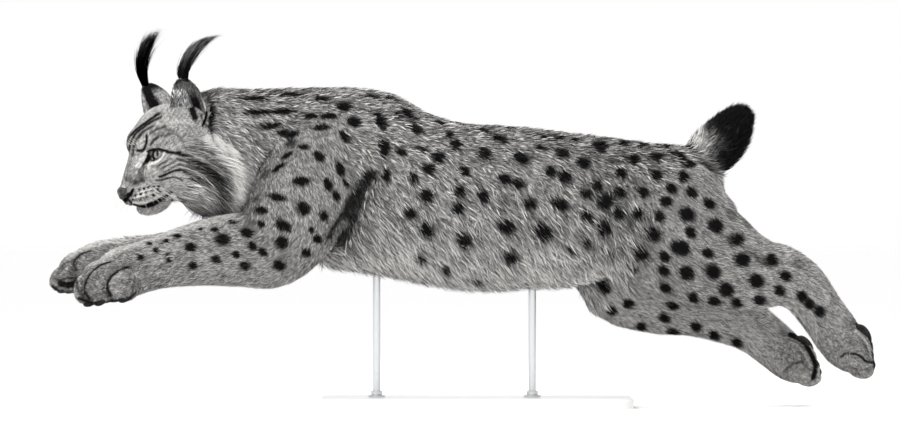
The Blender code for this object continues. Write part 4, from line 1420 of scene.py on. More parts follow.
DARK_STREAKS = records(
    Streak,
    (((-559, 459), (-552, 461.5), (-544, 463), (-531.6, 461.6), (-519, 458.5), (-498, 457)), 4, 5.4, 0.004),
    (((-504, 456), (-489, 451), (-477, 446), (-457, 432.8)), 5.5, 8.5, 0.005),
    (((-457, 432.8), (-441, 418.5), (-426, 402), (-419, 381), (-420, 357), (-428, 340)), 13, 26, 0.003, 1, 4),
    (((-556, 458), (-558, 450), (-563, 441), (-567, 435)), 4.6, 4, 0.004),
    (((-556, 450), (-557, 447), (-560, 442)), 8, 6, 0.003),
    # Painted shade of the nostril, together with the dark edge of the nose leather, laid on the fur just behind
    # the nose.
    (((-600, 374), (-595, 379), (-589, 383), (-584, 392)), 13, 3.5, 0.003, 1, 1.6),
    (((-562, 440), (-554, 444), (-545, 443), (-537, 447), (-531, 454)), 2.2, 2.2, 0.006),
    (((-567, 434), (-571, 425), (-573, 413), (-578, 404)), 8, 10, 0.05, 0.75, 7),
    (((-536, 413.7), (-525, 418), (-511, 424), (-498, 426.5), (-489.6, 424)), 3.6, 4.4, 0.012),
    (((-542, 407), (-531.6, 408.5), (-521, 411.6), (-506, 412.7), (-494, 407)), 3.2, 3.6, 0.02, 0.9),
    (((-489, 424), (-478, 418), (-467, 410)), 4.4, 4.8, 0.015, 0.9),
    (((-476, 410), (-467, 406), (-458, 402)), 9, 8, 0.008),
    (((-540, 432.6), (-527, 441), (-515, 447)), 2.8, 2.8, 0.04, 0.85),
    (((-534, 428), (-521, 434.7), (-506, 443)), 2.8, 3.2, 0.03, 0.85),
    (((-528, 422), (-514, 429), (-500, 436)), 2.8, 3, 0.04, 0.8),
    (((-505, 446), (-492, 443), (-480, 436), (-470, 428)), 3.6, 4.6, 0.025, 0.9),
    (((-500, 436), (-487, 433), (-474, 424)), 3.2, 4.2, 0.03, 0.85),
    (((-468, 428), (-456, 418), (-447, 405), (-443, 392)), 5, 7, 0.012, 0.9, 3),
    (((-458, 414), (-450, 402), (-448, 390), (-450, 378)), 4, 6, 0.02, 0.85, 3),
    (((-482, 466), (-466, 457), (-450, 446), (-436, 434)), 4, 6, 0.02, 0.9, 3),
    (((-457, 466), (-441, 453), (-426, 437), (-413, 419), (-409, 402), (-412, 380)), 4, 9, 0.012, 0.9, 4),
    (((-470, 480), (-452, 470), (-436, 458)), 4, 5, 0.05, 0.7, 3),
    (((-446, 430), (-432, 414), (-424, 398)), 5, 8, 0.02, 0.9, 3),
    (((-438, 446), (-424, 428), (-412, 404)), 3, 5, 0.02, 0.8, 3),
    (((-440, 372), (-441, 356), (-447, 344)), 5, 8, 0.02, 0.85, 4),
    (((-402, 432), (-398, 408), (-402, 384), (-412, 360)), 4, 8, 0.03, 0.8, 4),
    (((-599, 472), (-592.5, 485), (-580, 498), (-567, 508), (-552, 519), (-538, 528)), 3.4, 4.4, 0.008),
    (((-593.5, 460), (-588, 479), (-578, 493.5), (-565, 504), (-550, 514), (-534, 522)), 3, 4, 0.015),
    (((-586, 452), (-583, 470), (-576, 485), (-566, 496)), 3.2, 3, 0.03, 0.9),
    (((-576, 461), (-566, 462), (-560.5, 476), (-560.5, 489)), 4.4, 4, 0.015),
    (((-574, 484), (-569, 491), (-560, 499), (-548, 506)), 3, 3.2, 0.02, 0.9),
    (((-553, 472), (-546, 481), (-540, 485)), 4.4, 4.4, 0.025, 0.9),
    (((-554, 492), (-541, 500), (-526, 505)), 3.2, 3.6, 0.03, 0.8),
    (((-546, 491), (-531, 488), (-515, 492)), 3.2, 3.6, 0.05, 0.7),
    (((-525, 500), (-508, 492), (-494, 480)), 3, 4, 0.05, 0.6),
    (((-592.5, 371.7), (-586, 365.5), (-576, 362), (-563, 360.5), (-552, 362), (-540, 367)), 3, 5.4, 0.004),
    (((-560, 362), (-546, 368), (-531, 375), (-516, 385)), 7.5, 6, 0.005),
    (((-584, 404), (-590, 409), (-597, 411)), 7, 6, 0.05, 0.7, 5),
    (((-470, 577), (-452, 560), (-443, 534), (-444, 509)), 10, 12, 0.004, 1, 4),
    (((-484, 552), (-480, 536), (-474, 520)), 12, 10, 0.006, 1, 5),
    (((-462, 524), (-452, 508), (-440, 496)), 6, 8, 0.02, 0.9, 5),
)
PALE_STREAKS = records(
    Streak,
    (((-575, 434), (-569, 444), (-564, 453), (-560, 461)), 9, 6, 0.95, 1, 3),
    (((-571, 467), (-568.5, 479), (-565, 490)), 8.5, 6, 0.5, 1, 4),
    (((-558, 464), (-557.5, 475), (-552, 486), (-545, 494)), 3.6, 3.6, 0.42),
    (((-540, 468), (-532, 474), (-526, 481)), 8, 6, 0.38, 1, 4),
    (((-586, 378), (-565, 380), (-545, 386), (-524, 394)), 20, 14, 0.3, 1, 5),
    (((-582, 352), (-556, 350), (-530, 358)), 20, 18, 0.38, 1, 6),
    (((-545, 398), (-512, 400), (-484, 392), (-466, 376), (-460, 348)), 14, 24, 0.5, 1, 8),
    (((-446, 480), (-415, 460), (-399, 438), (-392, 412), (-394, 380)), 18, 24, 1.3, 1, 8),
    (((-462, 396), (-450, 378), (-450, 352)), 14, 20, 0.85, 1, 6),
    (((-468, 446), (-454, 437), (-440, 427)), 5, 4, 0.7, 0.9, 4),
    (((-500, 478), (-480, 478), (-462, 470)), 8, 8, 0.34, 0.8, 6),
    (((-500, 500), (-520, 506), (-538, 512)), 7, 5, 0.4, 1, 4),
    (((-534, 520), (-516, 514), (-496, 512), (-482, 512)), 7, 6, 0.5, 1, 5),
    (((-500, 548), (-497, 534), (-492, 522)), 12, 12, 0.4, 1, 6),
)
WHITE_STREAKS = records(
    Streak,
    (((-556, 429), (-557, 434), (-551, 438), (-543, 440.5), (-535, 446), (-528, 456)), 4.4, 2.8, 1.5, 1, 1.6),
    (((-458, 545), (-455, 532), (-458, 522), (-452, 510)), 3.4, 3.4, 0.6),
    (((-577, 385), (-558, 390), (-538, 397)), 2.4, 2.4, 1, 1, 1.6),
    (((-583, 376), (-560, 383), (-536, 391)), 2.4, 2.4, 1, 1, 1.6),
    (((-584, 368), (-562, 368), (-536, 379)), 2.8, 2.4, 0.9, 1, 1.6),
)
# Painted shade in the clefts between the toes and under the paws, with paler strokes; the pale line along the
# top of the near forearm is a painted highlight.
PAW_SHADE_AND_PALE_LINES = {
    Part.FORELEG_LEFT: records(
        Streak,
        (((-688, 236), (-678, 256), (-654, 271), (-629, 280), (-594, 292)), 14, 12, 0.70, 0.8, 6),
        (((-640, 215), (-630, 232), (-612, 242)), 14, 10, 0.36, 0.6, 8),
        (((-604, 215), (-600, 232), (-586, 238)), 30, 20, 0.34, 0.6, 10),
        (((-627, 203), (-634, 218), (-628, 235), (-612, 249), (-592, 254)), 11, 5, 0.05, 0.6, 7),
        (((-662, 194), (-674, 210), (-670, 231), (-657, 249), (-640, 258)), 9, 4, 0.06, 0.5, 7),
        (((-623, 203), (-629, 218), (-623.5, 233), (-608, 247), (-592, 253)), 4.6, 2.6, 0.006, 1, 3),
        (((-658, 192), (-669, 210), (-666, 229), (-654, 247), (-640, 257), (-624, 262)), 4.2, 2.2, 0.008, 1, 3),
        (((-673, 198), (-683, 214), (-685, 233), (-677, 248), (-664, 260), (-645, 268)), 3.2, 1.8, 0.02, 0.9, 3),
        (((-680, 196), (-656, 187), (-637, 183), (-620, 192)), 5, 6, 0.006, 1, 4),
        (((-618, 190), (-595, 192), (-579, 205)), 6, 3, 0.006, 1, 4),
        (((-584, 220), (-580, 236), (-588, 252)), 2, 2, 0.05, 0.6, 4),
    ),
    Part.FORELEG_RIGHT: records(
        Streak,
        (((-690, 222), (-700, 246), (-698, 262), (-685, 275)), 14, 7, 0.05, 0.75, 8),
        (((-692, 246), (-698, 260), (-685, 275), (-668, 281)), 3, 2.4, 0.015, 1, 3),
        (((-737, 216), (-722, 205), (-698, 199), (-680, 203)), 5, 7, 0.006, 1, 4),
        (((-722, 222), (-708, 219), (-690, 222)), 11, 12, 0.006, 1, 4),
        (((-734, 232), (-724, 228), (-706, 232), (-690, 230)), 2.4, 2.4, 0.02, 0.9, 3),
        (((-730, 238), (-722, 252), (-706, 262)), 2, 2, 0.05, 0.7, 3),
    ),
    Part.HINDLEG_LEFT: records(
        Streak,
        (((700, 152), (716, 134), (727, 112), (733, 92)), 14, 12, 0.07, 0.6, 8),
        (((711, 150), (727, 136), (738, 114), (745, 91), (741, 74)), 6, 6, 0.004, 1, 2.5),
        (((679, 92), (690, 98), (711, 95), (724, 84), (738, 82)), 3, 4, 0.008, 1, 3),
        (((706, 140), (720, 126), (730, 108), (735, 92)), 3.4, 3.4, 0.50, 0.9, 2.5),
    ),
    Part.HINDLEG_RIGHT: records(
        Streak,
        (((588, 132), (606, 118), (620, 96), (628, 70)), 14, 12, 0.07, 0.6, 8),
        (((598, 129), (619, 119), (633, 98), (642, 73), (638, 52)), 9, 9, 0.004, 1, 3),
        (((592, 118), (610, 110), (624, 92), (632, 72)), 3.4, 3.4, 0.45, 0.9, 2.5),
        (((585, 62), (600, 76), (618, 80)), 2.4, 2.4, 0.02, 0.8, 3),
    ),
}
WHISKER_ROWS = (
    ((-573.6, 389.6), (-556, 395.2), (-538, 396)), ((-581, 379.5), (-560, 386), (-539, 391)),
    ((-584, 372), (-560, 376), (-535, 386.5)),
)


@dataclass
class Markings:
    """Where the coat is dark or pale: spots of both sides, and the lines of the face."""

    seed: int = 5
    far_spacing: float = 0.042
    far_tries: int = 9000
    centres: Array = field(default_factory=lambda: np.zeros((0, 3)))
    longs: Array = field(default_factory=lambda: np.zeros((0, 3)))
    sizes: Array = field(default_factory=lambda: np.zeros((0, 3)))

    def place_spots(self, tree: BVHTree, points: Array, normals: Array, flows: Array, parts: Array) -> None:
        """Sets the near side's spots where the picture has them, and scatters the far side's.

        Args:
            tree: The skin's faces.
            points: Points of the skin.
            normals: Their normals.
            flows: The lie of the coat there.
            parts: Their part numbers.
        """
        rng = np.random.default_rng(self.seed)
        rows = []
        near = list(SHAPED_SPOTS)
        for x, z, kind in NEAR_SPOTS:
            tilt = rng.normal(-35 if z < 480 else -12, 12)
            near.append((x, z, *ROUND[kind], tilt, 0.5 if kind == "f" else 1.0))
        for x, z, half_long, half_wide, tilt, *dark in near:
            hit = tree.ray_cast(Vector((x * MM, -0.6, z * MM)), Vector((0, 1, 0)))[0]
            if hit is None:
                continue
            way = (math.cos(math.radians(tilt)), 0.0, math.sin(math.radians(tilt)))
            rows.append((tuple(hit), way, (half_long * MM, half_wide * MM, dark[0] if dark else 1.0)))
        keep = points[:, 1] > 0.012
        keep &= ~np.isin(parts, (Part.FORELEG_RIGHT, Part.HINDLEG_RIGHT)) | (normals[:, 1] > 0.2)
        for paw in PAWS:
            keep &= gap_to(points, paw.place) > 0.11
        keep &= ~np.isin(parts, (Part.HEAD, Part.EAR_LEFT, Part.EAR_RIGHT, Part.TAIL))
        inner = (parts == Part.FORELEG_LEFT) | (parts == Part.HINDLEG_LEFT)
        keep &= ~inner & ((points[:, 2] > 0.26) | (parts != Part.TORSO))
        chosen = np.zeros((0, 3))
        for i in rng.permutation(np.flatnonzero(keep))[: self.far_tries]:
            place = points[i]
            if len(chosen) and (np.linalg.norm(chosen - place, axis=1) < self.far_spacing).any():
                continue
            chosen = np.vstack([chosen, place])
            grow = rng.uniform(0.75, 1.25)
            rows.append((tuple(place), tuple(flows[i]), (0.014 * grow, 0.0115 * grow, rng.uniform(0.75, 1.0))))
        self.centres = np.array([row[0] for row in rows])
        self.longs = unit(np.array([row[1] for row in rows]))
        self.sizes = np.array([row[2] for row in rows])

    def spots_at(self, points: Array, rng: np.random.Generator) -> Array:
        """How dark the spots make each place.

        Args:
            points: Places in metres.
            rng: Seeded numbers for ragged edges.

        Returns:
            0 for none to 1 for black.
        """
        dark = np.zeros(len(points))
        ragged = rng.normal(0, 0.12, len(points))
        order = np.argsort(points[:, 0])
        xs = points[order, 0]
        for centre, way, (long, wide, strength) in zip(self.centres, self.longs, self.sizes):
            reach = long * 1.6
            low, high = np.searchsorted(xs, (centre[0] - reach, centre[0] + reach))
            near = order[low:high]
            away = points[near] - centre
            close = (np.abs(away[:, 2]) < reach) & (np.abs(away[:, 1]) < 0.03)
            near, away = near[close], away[close]
            along = away @ way
            rest = away - along[:, None] * way
            rest[:, 1] *= 0.55
            reach = np.sqrt((along / long) ** 2 + (rest**2).sum(1) / wide**2) + ragged[near]
            dark[near] = np.maximum(dark[near], strength * smoothstep(1.34, 0.78, reach))
        return dark

    def on_near_side(self, points: Array) -> Array:
        """Folds the head's far half onto its near half and gives places in the side view.

        Args:
            points: Places in metres.

        Returns:
            X and Z in millimetres.
        """
        place = np.array(head_frame())
        local = in_frame(points, place)
        local[:, 1] = np.abs(local[:, 1])
        world = local @ place[:3, :3].T + place[:3, 3]
        return world[:, [0, 2]] / MM

    def streak_at(self, flat: Array, streak: Streak) -> Array:
        """How strongly a streak covers places in the side view.

        Args:
            flat: X and Z in millimetres.
            streak: The streak.

        Returns:
            Numbers from 0 to the streak's strength.
        """
        line = np.array(streak.line, float)
        line = smooth_rows(line, 4) if len(line) > 2 else line
        cover = np.zeros(len(flat))
        low, high = line.min(0) - streak.end_width - 8, line.max(0) + streak.end_width + 8
        near = np.flatnonzero(((flat > low) & (flat < high)).all(1))
        part = flat[near]
        best = np.zeros(len(near))
        count = len(line) - 1
        for k in range(count):
            a, b = line[k], line[k + 1]
            span = b - a
            t = np.clip(((part - a) @ span) / (span @ span), 0, 1)
            gap = np.linalg.norm(part - a - t[:, None] * span, axis=1)
            half = 0.5 * (streak.width + (streak.end_width - streak.width) * (k + t) / count) + 0.3
            best = np.maximum(best, smoothstep(1.0, 0.0, (gap - half) / streak.soft + 0.4))
        cover[near] = best * streak.strength
        return cover

    def paw_shade_and_pale_at(self, points: Array, hairs: "Hairs", tone: Array) -> Array:
        """Lays painted shade in the clefts between the toes and under the paws, and paler strokes, over the tone
        of the paws.

        Args:
            points: Places in metres.
            hairs: The hairs there.
            tone: How light the coat is there.

        Returns:
            The changed tone.
        """
        flat = points[:, [0, 2]] / MM
        for part, lines in PAW_SHADE_AND_PALE_LINES.items():
            # The painted shade and pale strokes go only on the sides of the paws that face -Y.
            on = np.flatnonzero((hairs.parts == part) & (hairs.normals[:, 1] < 0.3))
            for streak in lines:
                tone[on] += (streak.tone - tone[on]) * self.streak_at(flat[on], streak)
        return tone

    def face_at(self, points: Array, tone: Array, rng: np.random.Generator) -> Array:
        """Lays the face's pale and dark lines over the tone of the head.

        Args:
            points: Places in metres.
            tone: How light the coat is there.
            rng: Seeded numbers for ragged edges.

        Returns:
            The changed tone.
        """
        flat = self.on_near_side(points)
        flat = flat + rng.normal(0, 0.5, flat.shape)
        for streak in (*PALE_STREAKS, *DARK_STREAKS, *WHITE_STREAKS):
            tone = tone + (streak.tone - tone) * self.streak_at(flat, streak)
        for row in WHISKER_ROWS:
            for dot in smooth_rows(row, 2):
                cover = smoothstep(3.6, 2.2, np.linalg.norm(flat - dot, axis=1))
                tone = tone + (0.003 - tone) * cover
        return tone


@dataclass(frozen=True)
class Lie:
    """How the coat lies: hair length and width in millimetres, lift in degrees, hairs a square millimetre."""

    length: float
    width: float
    lift: float
    density: float


LIES = {
    Part.TORSO: Lie(22, 1.8, 24, 0.44),
    Part.NECK: Lie(22, 1.7, 24, 0.50),
    Part.HEAD: Lie(10, 1.0, 21, 1.5),
    Part.FORELEG_LEFT: Lie(14, 1.6, 22, 0.60),
    Part.FORELEG_RIGHT: Lie(14, 1.6, 22, 0.55),
    Part.HINDLEG_LEFT: Lie(15, 1.6, 22, 0.58),
    Part.HINDLEG_RIGHT: Lie(15, 1.6, 22, 0.52),
    Part.TAIL: Lie(25, 1.2, 34, 1.3),
    Part.EAR_LEFT: Lie(6, 1.0, 16, 1.8),
    Part.EAR_RIGHT: Lie(6, 1.0, 16, 1.8),
}


@dataclass
class CoatMap:
    """Everything the coat needs to know at each point of the skin."""

    skin: bpy.types.Object
    trees: dict
    axes: list[Axis] = field(default_factory=body_axes)

    def __post_init__(self) -> None:
        """Reads the skin and works out part, lie, length and tone at each point."""
        mesh = self.skin.data
        self.points = points_of(mesh)
        self.normals = normals_of(mesh)
        self.edges = edges_of(mesh)
        self.triangles = triangles_of(mesh)
        self.read_parts()
        self.lay_flows()
        self.set_lengths()
        self.set_tones()

    def head_points(self) -> Array:
        """The skin's points in the head's frame, in millimetres."""
        return in_frame(self.points, head_frame()) / MM

    def read_parts(self) -> None:
        """Tells which part each point belongs to, and its nearest section."""
        count = len(self.points)
        self.parts = np.zeros(count, int)
        self.sections = np.zeros(count, int)
        best = np.full(count, 1e9)
        for axis in self.axes:
            near, which = axis.nearness(self.points)
            nearer = near < best
            best[nearer] = near[nearer]
            self.parts[nearer] = axis.part
            self.sections[nearer] = which[nearer]
        front = self.points[:, 0] < -0.36
        rows = np.flatnonzero(front)
        for part, tree in self.trees.items():
            on = rows[distances(tree, self.points[rows]) < 2e-5]
            self.parts[on] = part

    def lay_flows(self) -> None:
        """Works out which way the coat lies at each point."""
        points, normals = self.points, self.normals
        flows = np.tile([1.0, 0.0, -0.1], (len(points), 1))
        torso = self.parts == Part.TORSO
        side = 1 - np.clip(np.abs(normals[:, 2]), 0, 1) ** 2
        steep = side * smoothstep(0.54, 0.40, points[:, 2])
        flows[torso, 2] = -0.15 - 1.05 * steep[torso] - 0.6 * smoothstep(0.36, 0.26, points[torso, 2])
        neck = self.parts == Part.NECK
        flows[neck] = np.stack([np.full(neck.sum(), 1.0), np.zeros(neck.sum()), -0.15 - 0.6 * side[neck]], 1)
        for axis in self.axes[2:]:
            on = self.parts == axis.part
            flows[on] = axis.along[self.sections[on]]
        legs = np.isin(self.parts, (Part.FORELEG_LEFT, Part.FORELEG_RIGHT))
        upper = legs & (points[:, 2] > 0.33)
        flows[upper] = unit(flows[upper] + np.array([0.9, 0.0, -0.2]))
        legs = np.isin(self.parts, (Part.HINDLEG_LEFT, Part.HINDLEG_RIGHT))
        flows[legs] = unit(flows[legs] + np.array([0.35, 0.0, 0.0]))
        head = self.parts == Part.HEAD
        local = self.head_points()
        away = unit(local - np.array([112.0, 0.0, -58.0]))
        back = smoothstep(20, -50, local[:, 0]) * smoothstep(60, 10, local[:, 2])
        away[:, 2] -= 0.75 * back
        away[:, 0] -= 0.35 * back
        place = np.array(head_frame())[:3, :3]
        flows[head] = (unit(away) @ place.T)[head]
        for ear in EARS:
            on = self.parts == ear.part
            flows[on] = unit(np.array([ear.up], float))
        flows = evened(unit(flows), self.edges, 14)
        flows -= normals * (flows * normals).sum(1)[:, None]
        self.flows = unit(flows)

    def set_lengths(self) -> None:
        """Sets hair length, width, lift and number at each point."""
        table = np.array([[LIES[p].length, LIES[p].width, LIES[p].lift, LIES[p].density] for p in Part])
        values = table[self.parts]
        points, normals = self.points, self.normals
        local = self.head_points()
        head = self.parts == Part.HEAD
        f, side, u = local[head, 0], np.abs(local[head, 1]), local[head, 2]
        length = 3.8 + 6.7 * smoothstep(80, 40, f) + 4 * smoothstep(30, -20, f)
        cheek = smoothstep(15, -35, f) * smoothstep(35, 0, u) * smoothstep(20, 40, side)
        length = length + 24 * cheek
        eye = np.linalg.norm(np.abs(local[head]) - np.array([46.0, 37.0, 3.5]), axis=1)
        length = np.where(eye < 24, 3.2 + 2.5 * smoothstep(13, 24, eye), length)
        for ear in EARS:
            gap = gap_to(points[head], ear.base)
            length = length * (1 - 0.62 * smoothstep(0.062, 0.040, gap) * (local[head, 2] > 40))
        values[head, 0] = length
        values[head, 1] = 0.85 + 0.025 * length
        values[head, 3] = 1.9 - 0.035 * length
        torso = self.parts == Part.TORSO
        low = smoothstep(0.34, 0.24, points[:, 2]) * smoothstep(0.2, -0.4, normals[:, 2])
        values[torso, 0] += 20 * low[torso]
        values[torso, 2] += 8 * low[torso]
        for paw in PAWS:
            gap = gap_to(points, paw.place)
            near = smoothstep(0.09, 0.045, gap)
            values[:, 0] += near * (7.0 - values[:, 0])
            values[:, 1] += near * (1.3 - values[:, 1])
            values[:, 3] += near * (1.3 - values[:, 3])
        values[:, 0] *= 1 - 0.55 * self.armpit()
        values = evened(values, self.edges, 10)
        self.lengths, self.widths, self.lifts, self.densities = values.T
        self.lengths *= MM
        self.widths *= MM

    def armpit(self) -> Array:
        """How close each point is to the hollows behind the elbows, from 0 to 1."""
        across, high = (self.points[:, 0] + 0.225) / 0.026, (self.points[:, 2] - 0.290) / 0.026
        return np.exp(-(across**2) - high**2)

    def depth(self) -> Array:
        """How far the skin lies under the tips of the coat at each point, in metres."""
        return 0.55 * self.lengths * np.sin(np.radians(self.lifts)) + 0.0003

    def cavity(self, rounds: int, low: float, high: float) -> Array:
        """How deep each point lies in a crease.

        Args:
            rounds: How broad the creases are.
            low: Depth in metres at which a crease begins to count.
            high: Depth at which it counts fully.

        Returns:
            0 on open skin to 1 in a deep crease.
        """
        even = evened(self.points, self.edges, rounds)
        deep = ((even - self.points) * self.normals).sum(1)
        return smoothstep(low, high, evened(deep, self.edges, 2))

    def set_tones(self) -> None:
        """Sets how light the coat is at each point, before spots and lines, with a painted rim light on the
        forelegs' tops and painted shade in creases and in darker patches.
        """
        points, normals = self.points, self.normals
        x, z = points[:, 0], points[:, 2]
        tone = np.full(len(points), 0.22)
        torso = np.isin(self.parts, (Part.TORSO, Part.NECK))
        rear = smoothstep(-0.10, 0.10, x)
        base = 0.240 - 0.03 * rear
        lower = smoothstep(0.42, 0.225, z)
        tone = np.where(torso, base - 0.04 * smoothstep(0.5, 0.9, normals[:, 2]) + 0.06 * lower, tone)
        tone = np.where(self.parts == Part.NECK, tone * 0.95, tone)
        tone = np.where(torso, tone + 0.07 * smoothstep(-0.3, -0.9, normals[:, 2]), tone)
        shares = {
            Part.FORELEG_LEFT: 0.25,
            Part.FORELEG_RIGHT: 0.20,
            Part.HINDLEG_LEFT: 0.24,
            Part.HINDLEG_RIGHT: 0.315,
        }
        for axis in self.axes[2:6]:
            on = self.parts == axis.part
            inward = normals[:, 1] * (-1 if axis.centres[0, 1] > 0 else 1)
            tone = np.where(on, shares[axis.part] + 0.06 * smoothstep(0.3, 0.9, inward), tone)
            # Painted rim light: on the forelegs the coat whose normals face up is made much paler, standing in
            # for light falling on their tops.
            rim = smoothstep(0.55, 0.95, normals[:, 2])
            if axis.part in (Part.FORELEG_LEFT, Part.FORELEG_RIGHT):
                tone = np.where(on, tone + 0.75 * rim * smoothstep(-0.34, -0.42, x), tone)
            else:
                tone = np.where(on, tone + 0.05 * smoothstep(0.46, 0.54, x), tone)
        tail = self.parts == Part.TAIL
        tip = points @ np.array([0.97, 0.0, 0.24]) + 0.004 * ripples(points, 0.02, np.random.default_rng(4))
        tone = np.where(tail, np.where(normals[:, 2] < -0.1, 0.40, 0.30), tone)
        tone = np.where(tail, tone + (0.004 - tone) * smoothstep(0.521, 0.542, tip), tone)
        for paw in PAWS:
            gap = gap_to(points, paw.place)
            tone = tone * (1 - 0.22 * smoothstep(0.11, 0.06, gap))
        local = self.head_points()
        head = self.parts == Part.HEAD
        face = 0.42 + 0.06 * smoothstep(-10, -60, local[:, 2]) + 0.04 * smoothstep(30, 60, np.abs(local[:, 1]))
        face -= 0.14 * smoothstep(70, 95, local[:, 0])
        face *= 1 - 0.42 * np.exp(-(((x + 0.484) / 0.058) ** 2) - ((z - 0.500) / 0.036) ** 2)
        tone = np.where(head, face, tone)
        # Painted shade from the darker patches, and paler coat tone from the others, everywhere but the head.
        for shade in SHADE_AND_TONE_PATCHES:
            reach = ((x / MM - shade.x) / shade.wide) ** 2 + ((z / MM - shade.z) / shade.high) ** 2
            tone = np.where(head, tone, tone * (1 + (shade.factor - 1) * np.exp(-reach)))
        tone = evened(tone, self.edges, 5)
        # Painted shade: the coat is darkened in the creases of the skin, less so near the paws.
        crease_shade = np.maximum(self.cavity(8, 0.00004, 0.0004), self.cavity(40, 0.0004, 0.0030))
        for paw in PAWS:
            gap = gap_to(points, paw.place)
            crease_shade = crease_shade * (1 - 0.6 * smoothstep(0.10, 0.07, gap))
        self.tones = tone * (1 - 0.85 * crease_shade)

    def sink(self) -> None:
        """Moves the skin inwards by the coat's depth."""
        self.points = self.points - self.normals * self.depth()[:, None]
        set_points(self.skin.data, self.points)
        self.normals = normals_of(self.skin.data)


@dataclass
class Hairs:
    """Rows of hairs: roots, normals, lie, sizes, parts, sections and tones."""

    roots: Array
    normals: Array
    flows: Array
    lengths: Array
    widths: Array
    lifts: Array
    parts: Array
    sections: Array
    tones: Array

    @classmethod
    def at_points(cls, coat: CoatMap) -> "Hairs":
        """One hair at each point of the skin."""
        names = list(cls.__dataclass_fields__)[1:]
        return cls(coat.points, *(getattr(coat, name) for name in names))

    def pick(self, rows: Array) -> "Hairs":
        """The hairs with the given row numbers."""
        return Hairs(*(getattr(self, name)[rows] for name in self.__dataclass_fields__))

    def size(self) -> int:
        """How many hairs there are."""
        return len(self.roots)


def scatter(coat: CoatMap, density: Array, rng: np.random.Generator) -> Hairs:
    """Spreads hairs evenly over the skin.

    Args:
        coat: What is known at each point of the skin.
        density: Hairs a square millimetre at each point.
        rng: Seeded numbers.

    Returns:
        The hairs.
    """
    tri = coat.triangles
    a, b, c = (coat.points[tri[:, k]] for k in range(3))
    areas = 0.5 * np.linalg.norm(np.cross(b - a, c - a), axis=1) / MM**2
    wanted = areas * density[tri].mean(1)
    counts = np.floor(wanted + rng.random(len(wanted))).astype(int)
    faces = np.repeat(np.arange(len(tri)), counts)
    first, second = rng.random(len(faces)), rng.random(len(faces))
    flip = first + second > 1
    first[flip], second[flip] = 1 - first[flip], 1 - second[flip]
    shares = np.stack([1 - first - second, first, second], 1)
    corners = tri[faces]

    def blend(values: Array) -> Array:
        """Values at the roots from those at the corners."""
        if values.ndim == 1:
            return (values[corners] * shares).sum(1)
        return (values[corners] * shares[:, :, None]).sum(1)

    main = corners[np.arange(len(corners)), shares.argmax(1)]
    return Hairs(
        blend(coat.points),
        unit(blend(coat.normals)),
        unit(blend(coat.flows)),
        blend(coat.lengths),
        blend(coat.widths),
        blend(coat.lifts),
        coat.parts[main],
        coat.sections[main],
        blend(coat.tones),
    )


